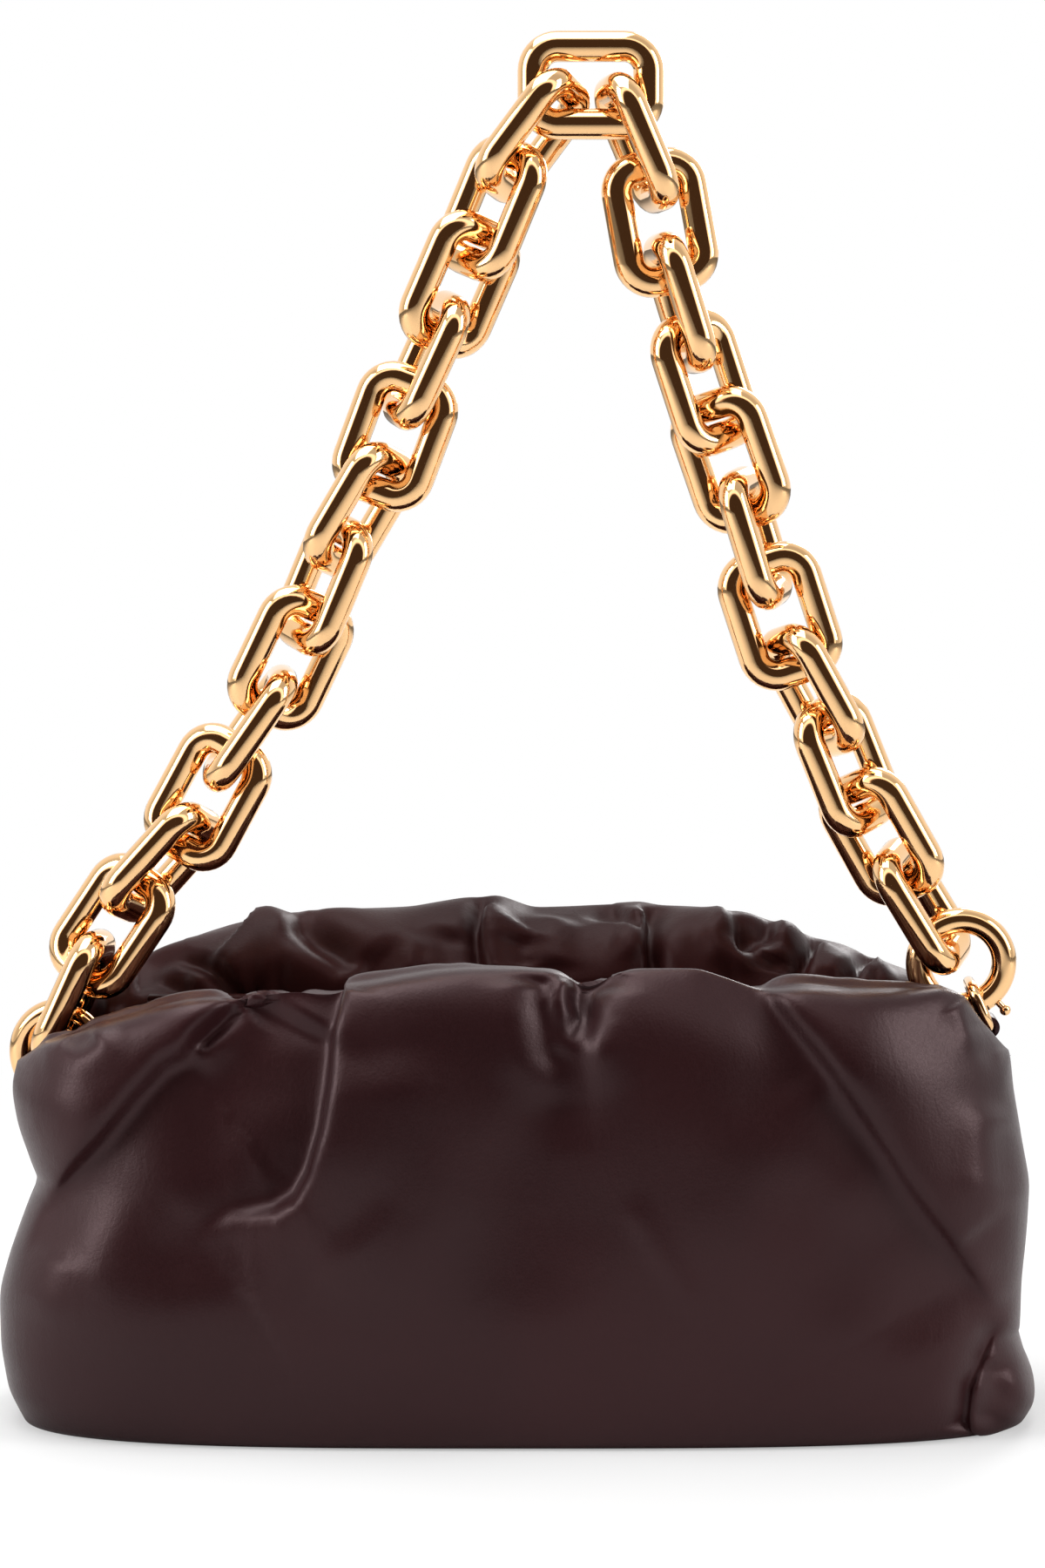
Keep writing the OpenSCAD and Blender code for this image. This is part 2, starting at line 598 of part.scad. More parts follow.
// Halve the span in which the top link lies until both sides meet
function settle(low, high, turns) =
    let (x = (low + high) / 2)
    turns == 0 ? x : height_gap(x) > 0 ? settle(x, high, turns - 1) : settle(low, x, turns - 1);
settle_share = 0.25;
settle_turns = 24;
top_x = settle(-half_w * settle_share, half_w * settle_share, settle_turns);
nest_z = left_hook[1] + run_up(left_lean_angles, left_ease(top_x));
top_z = nest_z + link_side - nest;

function link_dirs(leans, ease, side) = [for (a = leans) [side * ease * sin(a), -sqrt(1 - pow(ease * sin(a), 2))]];
// Middle of each link in x and z, worked down the side from its bar in the top link
function link_middles(dirs, i, bar) =
    let (middle = bar + link_half * dirs[i])
    i == len(dirs) - 1 ? [middle]
        : concat([middle], link_middles(dirs, i + 1,
            middle + link_half * dirs[i] - hang * (dirs[i] + dirs[i + 1]) / 2));
function side_middles(dirs, side) = link_middles(dirs, 0, [top_x + side * nest_x, nest_z]);
left_dirs = link_dirs(left_lean_angles, left_ease(top_x), -1);
right_dirs = link_dirs(right_lean_angles, right_ease(top_x), 1);
left_middles = side_middles(left_dirs, -1);
right_middles = side_middles(right_dirs, 1);

// One link, upright, wide along X
module chain_link() {
    rotate([0, -90, 0]) translate([-link_half, 0, 0])
        rotate([90, 0, 0]) rounded_loop(2 * link_half, 2 * link_side, wire_d, link_corner_r);
}
module hung_link(middle, dir, roll) {
    translate([middle[0], 0, middle[1]]) rotate([0, atan2(-dir[0], -dir[1]), 0])
        rotate([0, 0, -roll]) chain_link();
}
module top_link() {
    color(gold_colour) translate([top_x, 0, top_z]) rotate([0, 90, 0]) chain_link();
}
module left_link(i) {
    color(gold_colour) hung_link(left_middles[i], left_dirs[i], left_roll_angles[i]);
}
module right_link(i) {
    color(gold_colour) hung_link(right_middles[i], right_dirs[i], right_roll_angles[i]);
}

outer_front_panel();
outer_back_panel();
front_facing();
back_facing();
base_panel();
base_board();
lining();
slip_pocket();
front_jaw_bar();
back_jaw_bar();
left_jaw_pin();
right_jaw_pin();
front_magnet();
back_magnet();
left_tab();
right_tab();
left_tab_rivet();
right_tab_rivet();
left_tab_ring();
right_tab_ring();
left_clasp_tube();
right_clasp_tube();
left_clasp_bolt();
right_clasp_bolt();
left_clasp_lever();
right_clasp_lever();
left_clasp_spring();
right_clasp_spring();
top_link();
for (i = [1:left_count]) left_link(i - 1);
for (i = [1:right_count]) right_link(i - 1);
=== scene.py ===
# %% [markdown]
# # A gathered leather pouch on a gold link chain
# The real bag is a soft nappa pouch. Its wide panels are gathered onto a hidden jaw frame, so
# the leather puffs up in front and behind, and a chain of heavy polished links carries it.
# The measured solids come first and stay as they are. Each soft piece is then made again here
# in the same place, with the folds that a solid can't hold.

# %% Load the measured solids
import json
from math import cos, pi, radians, sin

import bpy
import numpy as np
from mathutils import Matrix, Vector

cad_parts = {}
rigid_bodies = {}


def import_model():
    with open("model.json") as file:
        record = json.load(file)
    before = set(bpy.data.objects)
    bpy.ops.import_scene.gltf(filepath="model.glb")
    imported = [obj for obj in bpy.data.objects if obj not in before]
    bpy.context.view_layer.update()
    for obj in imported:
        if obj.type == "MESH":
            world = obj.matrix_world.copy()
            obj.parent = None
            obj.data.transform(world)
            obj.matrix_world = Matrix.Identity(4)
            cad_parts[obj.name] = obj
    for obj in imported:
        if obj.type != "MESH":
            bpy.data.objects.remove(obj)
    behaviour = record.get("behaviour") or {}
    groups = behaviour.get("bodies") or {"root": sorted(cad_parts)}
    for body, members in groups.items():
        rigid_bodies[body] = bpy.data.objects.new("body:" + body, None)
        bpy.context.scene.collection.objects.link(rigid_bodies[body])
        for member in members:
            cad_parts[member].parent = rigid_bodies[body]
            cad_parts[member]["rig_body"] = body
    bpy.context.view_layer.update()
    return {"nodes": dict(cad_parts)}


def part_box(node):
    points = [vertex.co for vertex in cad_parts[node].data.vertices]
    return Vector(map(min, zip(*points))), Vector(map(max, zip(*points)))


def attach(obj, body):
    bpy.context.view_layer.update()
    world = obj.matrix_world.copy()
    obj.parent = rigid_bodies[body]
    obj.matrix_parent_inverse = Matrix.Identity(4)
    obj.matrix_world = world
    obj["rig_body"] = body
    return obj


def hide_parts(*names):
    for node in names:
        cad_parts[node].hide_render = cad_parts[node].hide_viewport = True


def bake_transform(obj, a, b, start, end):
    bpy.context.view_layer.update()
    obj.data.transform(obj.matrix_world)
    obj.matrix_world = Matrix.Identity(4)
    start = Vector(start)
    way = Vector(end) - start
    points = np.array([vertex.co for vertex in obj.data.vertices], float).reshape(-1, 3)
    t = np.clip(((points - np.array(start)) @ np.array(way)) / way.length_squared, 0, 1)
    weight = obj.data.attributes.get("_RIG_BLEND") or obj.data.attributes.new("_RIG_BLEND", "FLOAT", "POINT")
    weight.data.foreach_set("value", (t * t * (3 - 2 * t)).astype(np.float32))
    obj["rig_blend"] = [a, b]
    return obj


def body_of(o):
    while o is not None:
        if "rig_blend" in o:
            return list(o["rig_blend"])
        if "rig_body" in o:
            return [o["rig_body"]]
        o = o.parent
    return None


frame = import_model()
MM = 0.001

# %% [markdown]
# ## The camera
# The photograph was taken from straight in front and a few degrees above the bag, from about
# one and a half metres. The same rays are useful twice: Blender's camera looks along them, and
# a fold that shows at some place in the photograph is put on the leather that its ray meets.

# %% Camera and its rays
# Size of a pixel at the bag, half the photograph in pixels, and the camera's distance in metres
PIXEL = 0.2627 * MM
HALF_ACROSS, HALF_DOWN = 600, 900
REACH = 1.4
TILT = radians(6.5)
aim = Vector((1.3 * MM, 0, 191.3 * MM))
ahead = Vector((0, cos(TILT), -sin(TILT)))
above = Vector((0, sin(TILT), cos(TILT)))
eye = aim - REACH * ahead

camera_data = bpy.data.cameras.new("camera")
camera_data.sensor_fit = "VERTICAL"
camera_data.sensor_height = 36
camera_data.lens = camera_data.sensor_height * REACH / (2 * HALF_DOWN * PIXEL)
camera = bpy.data.objects.new("camera", camera_data)
bpy.context.scene.collection.objects.link(camera)
camera.matrix_world = Matrix.Translation(eye) @ (-ahead).to_track_quat("Z", "Y").to_matrix().to_4x4()
bpy.context.scene.camera = camera


def seen_at(px, py, y):
    """The point at depth y that shows at a place in the photograph."""
    ray = ahead * REACH + Vector((px - HALF_ACROSS, 0, 0)) * PIXEL + above * (HALF_DOWN - py) * PIXEL
    return eye + ray * ((y - eye.y) / ray.y)


def shown_place(points):
    """Where points show in the photograph, as columns of px and py."""
    off = points - np.array(eye)
    scale = REACH / (off @ np.array(ahead)) / PIXEL
    return np.stack([HALF_ACROSS + off[..., 0] * scale, HALF_DOWN - (off @ np.array(above)) * scale], -1)


print("lens:", round(camera_data.lens, 1), "eye:", [round(c, 3) for c in eye])

# %% [markdown]
# ## Shader maths in plain Python
# Wiring dozens of Math nodes by hand is slow and hard to read. A small class wraps a socket,
# so that an expression such as `0.4 + 0.1 * grain` adds the nodes by itself.


# %% Socket class and material helper
class Sock:
    """A shader socket that does arithmetic by adding Math nodes."""

    def __init__(self, tree, socket):
        self.tree, self.socket = tree, socket

    def node(self, kind, out=0, props=(), **inputs):
        """Add a node with its settings, then its inputs by name or as i0, i1, and give one output."""
        made = self.tree.nodes.new(kind)
        for key, value in dict(props).items():
            if key == "stops":
                ramp = made.color_ramp
                while len(ramp.elements) < len(value):
                    ramp.elements.new(0.5)
                for element, (place, colour) in zip(ramp.elements, value):
                    element.position = place
                    element.color = (*colour, 1) if isinstance(colour, tuple) else (colour,) * 3 + (1,)
            else:
                setattr(made, key, value)
        for key, value in inputs.items():
            name = key.replace("_", " ")
            socket = made.inputs[int(key[1:])] if key[0] == "i" and key[1:].isdigit() else made.inputs[name]
            if isinstance(value, Sock):
                self.tree.links.new(value.socket, socket)
            else:
                socket.default_value = value
        return Sock(self.tree, made.outputs[out])

    def maths(self, operation, *values):
        return self.node("ShaderNodeMath", props={"operation": operation},
                         **{"i%d" % i: value for i, value in enumerate(values)})

    def __add__(self, other):
        return self.maths("ADD", self, other)

    def __sub__(self, other):
        return self.maths("SUBTRACT", self, other)

    def __rsub__(self, other):
        return self.maths("SUBTRACT", other, self)

    def __mul__(self, other):
        return self.maths("MULTIPLY", self, other)

    __radd__, __rmul__ = __add__, __mul__

    def between(self, low, high):
        """Nothing below the low value and one above the high value, with a soft step between."""
        return self.node("ShaderNodeMapRange", props={"interpolation_type": "SMOOTHSTEP"},
                         Value=self, From_Min=low, From_Max=high)


def new_material(name):
    """A material's node tree with its shader, and a start for expressions in Object coordinates."""
    material = bpy.data.materials.new(name)
    material.use_nodes = True
    tree = material.node_tree
    shader = tree.nodes["Principled BSDF"]
    place = tree.nodes.new("ShaderNodeTexCoord").outputs["Object"]
    return material, tree, shader, Sock(tree, place)


def feed(tree, value, socket):
    """Lead an expression's value into a shader's socket."""
    tree.links.new(value.socket, socket)


def mix_colour(start, factor, a, b):
    """The first colour where the factor is nothing, and the second where it is one."""
    made = start.tree.nodes.new("ShaderNodeMix")
    made.data_type = "RGBA"
    for value, socket in ((factor, made.inputs[0]), (a, made.inputs[6]), (b, made.inputs[7])):
        if isinstance(value, Sock):
            start.tree.links.new(value.socket, socket)
        else:
            socket.default_value = value if isinstance(value, float) else (*value, 1)
    return Sock(start.tree, made.outputs[2])


def linear(red, green, blue):
    """A colour read off a screen, as the linear values that the shaders take."""
    shares = (red / 255, green / 255, blue / 255)
    return tuple(c / 12.92 if c <= 0.0393 else ((c + 0.055) / 1.055) ** 2.4 for c in shares)


BURGUNDY_DEEP, BURGUNDY_LIGHT = linear(37, 16, 18), linear(46, 21, 23)
PUFF_DEEP, PUFF_LIGHT = linear(40, 16, 16), linear(50, 22, 20)
GOLD, STEEL = linear(242, 196, 142), linear(176, 176, 180)
print("burgundy in linear values:", [round(c, 4) for c in BURGUNDY_DEEP])

# %% [markdown]
# ## Burgundy nappa
# Nappa is a smooth, finished skin: very dark brown with a red cast, a satin surface with soft
# highlights, a fine pebble grain, and faint stretch lines. The grain is a small Voronoi
# pattern, the stretch lines are stretched noise, and the colour wanders a little. The
# highlights take a red tint, and the back panel, whose puffs catch the lamp above, shines less.


# %% Leather material
def nappa(name, deep, light, rough, gloss):
    """Leather between two colours, with a mean roughness and a strength of its highlights."""
    material, tree, shader, place = new_material(name)
    cloud = place.node("ShaderNodeTexNoise", Vector=place, Scale=11.0, Detail=3.0, Roughness=0.5)
    pebble = place.node("ShaderNodeTexVoronoi", Vector=place, Scale=1150.0, Randomness=1.0)
    pores = place.node("ShaderNodeTexNoise", Vector=place, Scale=2400.0, Detail=2.0)
    stretched = place.node("ShaderNodeMapping", Vector=place,
                           Scale=(60.0, 60.0, 26.0), Rotation=(0.0, 0.5, 0.0))
    lines = place.node("ShaderNodeTexNoise", Vector=stretched, Scale=2.4, Detail=4.0, Distortion=0.8)
    feed(tree, mix_colour(place, cloud.between(0.3, 0.72), deep, light), shader.inputs["Base Color"])
    feed(tree, rough + 0.1 * (cloud - 0.5) + 0.08 * (pebble - 0.4), shader.inputs["Roughness"])
    shader.inputs["Specular IOR Level"].default_value = gloss
    shader.inputs["Specular Tint"].default_value = (1.0, 0.72, 0.74, 1)
    height = 0.6 * pebble + 0.3 * pores + 0.5 * lines.between(0.44, 0.6)
    bump = place.node("ShaderNodeBump", Height=height, Distance=0.00008, Strength=0.5)
    feed(tree, bump, shader.inputs["Normal"])
    return material


leather = nappa("burgundy_nappa", BURGUNDY_DEEP, BURGUNDY_LIGHT, 0.37, 0.3)
puff_leather = nappa("burgundy_nappa_inside", PUFF_DEEP, PUFF_LIGHT, 0.42, 0.09)
print("leathers:", leather.name, puff_leather.name)

# %% [markdown]
# ## Polished gold plate
# The links are mirror polished, so nearly all of their look comes from what they reflect. The
# plate itself is a warm pale gold, whose roughness and tint vary only a trace.


# %% Gold and steel materials
def metal(name, colour, rough, haze):
    """Polished metal whose roughness wanders by a haze."""
    material, tree, shader, place = new_material(name)
    smear = place.node("ShaderNodeTexNoise", Vector=place, Scale=60.0, Detail=4.0)
    feed(tree, rough + haze * (smear - 0.4), shader.inputs["Roughness"])
    tint = place.node("ShaderNodeTexNoise", Vector=place, Scale=25.0, Detail=2.0)
    feed(tree, mix_colour(place, tint.between(0.2, 0.8), colour, tuple(0.95 * c for c in colour)),
         shader.inputs["Base Color"])
    shader.inputs["Metallic"].default_value = 1.0
    return material


gold = metal("polished_gold", GOLD, 0.07, 0.05)
steel = metal("plain_steel", STEEL, 0.3, 0.15)
print("metals:", gold.name, steel.name)

# %% [markdown]
# ## Lining and board
# The lining is a brushed, suede-like cloth, and the base board is plain pressed fibre. The
# lining is seen when the mouth opens, and the board lies hidden under its floor.


# %% Lining and board materials
def brushed_cloth(name, deep, light, scale):
    """A matt, fibrous surface between two colours, with a nap of the given fineness."""
    material, tree, shader, place = new_material(name)
    nap = place.node("ShaderNodeTexNoise", Vector=place, Scale=scale, Detail=6.0)
    feed(tree, mix_colour(place, nap.between(0.3, 0.7), deep, light), shader.inputs["Base Color"])
    bump = place.node("ShaderNodeBump", Height=nap, Distance=0.0002, Strength=0.5)
    feed(tree, bump, shader.inputs["Normal"])
    shader.inputs["Roughness"].default_value = 0.85
    return material


suede = brushed_cloth("suede_lining", linear(84, 58, 54), linear(108, 78, 72), 900.0)
fibre = brushed_cloth("fibre_board", linear(140, 112, 84), linear(168, 138, 104), 400.0)
print("cloths:", suede.name, fibre.name)

# %% [markdown]
# ## Shape of the pouch
# Seen from above, each panel follows half of a squared oval. Seen from the end, it rises from
# the floor over a belly to its crest, and from there the facing rolls into the mouth and down
# to the jaw bars. The crest lines and the ends are read from the photograph's outlines, so the
# silhouette is right before any fold is made.

# %% Outlines of the pouch
HALF_WIDTH, HALF_DEPTH, SQUARE, BELLY = 151 * MM, 60 * MM, 3.3, 0.4
BASE_DEPTH, CREST_DEPTH = 0.84, 0.66
FRONT_RIDGE = [(14, 1232), (50, 1200), (77, 1190), (115, 1176), (153, 1166), (191, 1154), (222, 1146),
               (252, 1142), (268, 1146), (290, 1140), (344, 1135), (375, 1140), (402, 1133),
               (432, 1129), (459, 1122), (500, 1115), (536, 1112), (600, 1112), (638, 1114),
               (665, 1124), (677, 1134), (690, 1122), (734, 1111), (810, 1110), (845, 1121),
               (883, 1135), (929, 1131), (983, 1137), (1040, 1137), (1097, 1134), (1124, 1142),
               (1150, 1180), (1165, 1215)]
BACK_RIDGE = [(20, 1222), (60, 1160), (80, 1141), (112, 1122), (145, 1106), (180, 1088), (214, 1076),
              (250, 1065), (287, 1056), (340, 1048), (400, 1045), (474, 1041), (536, 1030), (574, 1027),
              (612, 1041), (666, 1040), (742, 1035), (765, 1039), (820, 1043), (865, 1049), (900, 1060),
              (934, 1073), (980, 1083), (1018, 1099), (1048, 1111), (1080, 1128), (1120, 1160),
              (1160, 1210)]
LEFT_END = [(120, 1646), (60, 1632), (31, 1611), (14, 1577), (6, 1531), (4, 1470), (14, 1430),
            (27, 1393), (42, 1358), (45, 1332), (34, 1301), (23, 1270), (17, 1240), (22, 1215),
            (30, 1180)]
RIGHT_END = [(1100, 1646), (1140, 1638), (1170, 1612), (1184, 1592), (1185, 1577), (1176, 1550),
             (1166, 1516), (1170, 1450), (1175, 1393), (1178, 1347), (1168, 1290), (1160, 1240),
             (1157, 1202), (1140, 1160)]


def outline(places, depth_of):
    """Points of the photograph's outline, laid on the body at the depth that each place has."""
    found = []
    for px, py in places:
        flat = seen_at(px, py, 0)
        found.append(seen_at(px, py, depth_of(flat.x)))
    return np.array(found)


def squared_oval(u):
    """Shares of the half width and of the half depth on the squared oval, for u from one end to the other."""
    turn = pi / 2 * u
    size = (np.abs(np.sin(turn)) ** SQUARE + np.abs(np.cos(turn)) ** SQUARE) ** (1 / SQUARE)
    return np.sin(turn) / size, np.abs(np.cos(turn)) / size


def plan_depth(share):
    """Depth of the squared oval where x is this share of the half width."""
    return (1 - np.minimum(np.abs(share), 1) ** SQUARE) ** (1 / SQUARE)


def crest_line(places, side):
    """Heights of a panel's crest from left to right, as places and heights."""
    line = outline(places, lambda x: side * HALF_DEPTH * CREST_DEPTH * float(plan_depth(x / HALF_WIDTH)))
    order = np.argsort(line[:, 0])
    return line[order, 0], line[order, 2]


def softened(values, reach):
    """Values along a line, each averaged with its neighbours so that corners turn round."""
    weights = np.exp(-np.linspace(-2, 2, 2 * reach + 1) ** 2)
    return np.convolve(np.pad(values, reach, "edge"), weights / weights.sum(), "valid")


def end_line(places):
    """How far one end stands out at each height, softened, as heights and places."""
    line = outline(places, lambda x: 0)
    order = np.argsort(line[:, 2])
    heights = np.linspace(0, 0.14, 141)
    return heights, softened(np.interp(heights, line[order, 2], line[order, 0]), 5)


front_x, front_z = crest_line(FRONT_RIDGE, -1)
back_x, back_z = crest_line(BACK_RIDGE, 1)
left_z, left_x = end_line(LEFT_END)
right_z, right_x = end_line(RIGHT_END)
print("front crest up to", round(front_z.max() / MM, 1), "back crest up to", round(back_z.max() / MM, 1))

# %% [markdown]
# ## Folds read from the photograph
# A fold is a route over the leather with a height and a width on each side. Where skin is
# pulled it makes a soft ridge; where it laps over itself it drops sharply on one side. The
# routes are given by where they show, and each moves the leather straight out from its surface.


# %% Fold helper
def along(route, place):
    """For each place: its distance from a route in millimetres, more than zero on the route's left, how far
    along the route it lies, and the direction to the left there."""
    points = np.array(route, float)
    steps = np.linalg.norm(np.diff(points, axis=0), axis=1)
    best = np.full(place.shape[:-1], 1e9)
    away, how_far = np.zeros_like(best), np.zeros_like(best)
    leftward = np.zeros(place.shape)
    passed = 0.0
    for start, end, length in zip(points[:-1], points[1:], steps):
        run = (end - start) / length
        left = np.array([run[1], -run[0]])
        off = place - start
        t = np.clip(off @ run, 0, length)
        gap = np.linalg.norm(off - t[..., None] * run, axis=-1)
        near = gap < best
        best = np.where(near, gap, best)
        away = np.where(near, gap * np.sign(off @ left), away)
        how_far = np.where(near, (passed + t) / steps.sum(), how_far)
        leftward = np.where(near[..., None], left, leftward)
        passed += length
    return away * PIXEL / MM, how_far, leftward


def ease(t, ends):
    """One in the middle of a route, falling softly to nothing over a share of it at each end."""
    fade = np.clip(t / max(ends[0], 1e-3), 0, 1) * np.clip((1 - t) / max(ends[1], 1e-3), 0, 1)
    return fade * fade * (3 - 2 * fade)


def fold(place, route, height, left, right, ends):
    """A raised fold in millimetres, with a width on each side as one looks along its run."""
    away, t = along(route, place)[:2]
    return height * np.exp(-(away / np.where(away > 0, left, right)) ** 2) * ease(t, ends)


def lap(place, route, height, left, drop, right, edge, slide, ends):
    """Leather that lies over its neighbour: it stands up on the left of the run, drops on the right, and
    its edge slides over. Gives the height, and the slide across the picture and down it."""
    away, t, leftward = along(route, place)
    over = 1 / (1 + np.exp(-np.clip(away / edge, -30, 30)))
    high = height * np.exp(-(np.maximum(away, 0) / left) ** 2)
    low = -drop * np.exp(-(np.minimum(away, 0) / right) ** 2)
    fade = ease(t, ends)
    shift = -slide * over * np.exp(-(away / 9) ** 2) * fade
    return (high * over + low * (1 - over)) * fade, leftward * shift[..., None]


def blister(place, px, py, height, wide, tall):
    """A soft round swelling in millimetres."""
    off = (place - np.array([px, py])) * PIXEL / MM / np.array([wide, tall])
    return height * np.exp(-(off ** 2).sum(-1))


def waves(x, seed, lengths):
    """A smooth wandering value from a few sines, the same each run."""
    rng = np.random.default_rng(seed)
    total = np.zeros_like(x)
    for length in lengths:
        total += np.sin(2 * pi * x / length + rng.uniform(0, 2 * pi))
    return total / len(lengths)


print("fold helpers ready")

# %% Routes of the folds
# Each row: route, height, width on its left, width on its right, shares over which its ends fade
FRONT_FOLDS = [
    # The left pleat's second line, its furrow, and the valley beside the long left crease
    ([(279, 1150), (257, 1176), (230, 1200), (208, 1211)], 2.6, 7, 3, (0.04, 0.3)),
    ([(271, 1150), (246, 1176), (216, 1202)], -3.4, 3, 3, (0.05, 0.2)),
    ([(345, 1150), (300, 1228), (240, 1300), (180, 1370)], -5.6, 17, 17, (0.1, 0.4)),
    # Small folds at the left end, where the panel turns into the mouth
    ([(40, 1206), (60, 1204), (90, 1212), (107, 1203), (121, 1187), (136, 1172)], 2.6, 5, 8, (0.15, 0.3)),
    ([(76, 1190), (92, 1200), (112, 1188)], -2.4, 4, 4, (0.2, 0.2)),
    ([(20, 1300), (44, 1330), (60, 1366)], -1.0, 9, 7, (0.2, 0.4)),
    # Notch in the middle, its curl, and the soft valleys that run down from it
    ([(677, 1112), (672, 1140), (665, 1168), (664, 1216)], -6.5, 8, 5, (0.01, 0.55)),
    ([(646, 1120), (642, 1146), (650, 1164), (670, 1158)], 2.4, 4, 4, (0.15, 0.2)),
    ([(626, 1116), (622, 1150), (626, 1190), (640, 1250)], -3.6, 5, 7, (0.1, 0.5)),
    ([(603, 1120), (604, 1160), (612, 1215), (632, 1280)], 2.0, 7, 9, (0.1, 0.5)),
    ([(690, 1128), (688, 1165), (690, 1215), (700, 1270)], 2.6, 8, 5, (0.1, 0.5)),
    ([(652, 1190), (650, 1250), (660, 1330)], -2.2, 9, 9, (0.2, 0.5)),
    ([(648, 1140), (626, 1260), (616, 1390), (624, 1530)], -3.6, 20, 24, (0.5, 0.35)),
    ([(440, 1200), (452, 1300), (480, 1400), (520, 1500)], 3.0, 18, 26, (0.2, 0.35)),
    ([(350, 1392), (262, 1424), (180, 1440), (110, 1470)], -3.2, 12, 14, (0.5, 0.4)),
    ([(60, 1430), (46, 1470), (34, 1520)], 2.4, 9, 12, (0.2, 0.4)),
    # Folds at the right end, where the seam is gathered
    ([(1094, 1150), (1110, 1175), (1122, 1215)], 2.6, 12, 5, (0.15, 0.4)),
    ([(1128, 1168), (1140, 1196), (1140, 1236)], -1.8, 4, 4, (0.15, 0.4)),
    ([(1150, 1200), (1158, 1230), (1156, 1262)], 1.6, 4, 3, (0.15, 0.4)),
    ([(1146, 1262), (1136, 1300), (1138, 1345), (1124, 1392)], 3.0, 6, 8, (0.2, 0.3)),
    ([(1160, 1290), (1152, 1330), (1156, 1380)], -2.6, 6, 6, (0.2, 0.4)),
    ([(1120, 1400), (1150, 1440), (1160, 1480)], -2.6, 8, 8, (0.2, 0.3)),
    # The ear at the lower right corner
    ([(1160, 1492), (1177, 1530), (1185, 1572), (1170, 1614)], 3.6, 5, 6, (0.2, 0.2)),
    ([(1148, 1560), (1150, 1600), (1136, 1640)], -3.4, 5, 4, (0.2, 0.2)),
    # Faint creases in the middle panel
    ([(715, 1373), (760, 1445), (814, 1530)], 0.8, 5, 3, (0.2, 0.3)),
    ([(385, 1405), (450, 1470), (550, 1550)], 2.2, 16, 22, (0.2, 0.4)),
    ([(905, 1230), (950, 1320), (1010, 1440)], 1.8, 16, 12, (0.2, 0.4))]
# Each row: route, height and width of the leather on top, drop and width of what lies under it,
# width of its edge, slide, and the shares over which its ends fade
FRONT_LAPS = [
    # The middle panel lies over the left part of the front
    ([(406, 1030), (404, 1138), (398, 1164), (390, 1194), (386, 1248), (377, 1300), (362, 1350), (344, 1380),
      (318, 1394), (268, 1399), (230, 1416), (205, 1446)], 4.6, 34, 6.0, 24, 1.2, 4.6, (0.01, 0.42)),
    # Long crease from the lower left corner up to the left pleat
    ([(10, 1520), (26, 1430), (50, 1380), (77, 1343), (115, 1302), (150, 1258), (182, 1221), (206, 1207),
      (236, 1172), (263, 1150), (300, 1090)], 5.0, 30, 4.6, 16, 1.4, 1.5, (0.3, 0.01)),
    # Long crease from the right pleat to the lower right corner
    ([(820, 1030), (878, 1128), (906, 1164), (937, 1202), (967, 1243), (998, 1286), (1048, 1361),
      (1090, 1415), (1124, 1465), (1150, 1517)], 5.6, 34, 3.6, 40, 1.6, 2.0, (0.01, 0.1)),
    ([(1156, 1514), (1138, 1558), (1122, 1598), (1117, 1646)], 3.0, 22, 5.0, 6, 1.2, 3.0, (0.2, 0.04))]
# Each row: place of a soft swelling, how far it stands out, and its reach across and up
FRONT_SWELLS = [(140, 1480, 4.0, 34, 26), (1000, 1215, 3.0, 20, 24), (830, 1330, 3.0, 26, 40),
                (60, 1262, 2.6, 14, 20), (330, 1200, 2.0, 14, 12), (780, 1200, 2.2, 30, 22),
                (520, 1240, 1.6, 26, 34)]

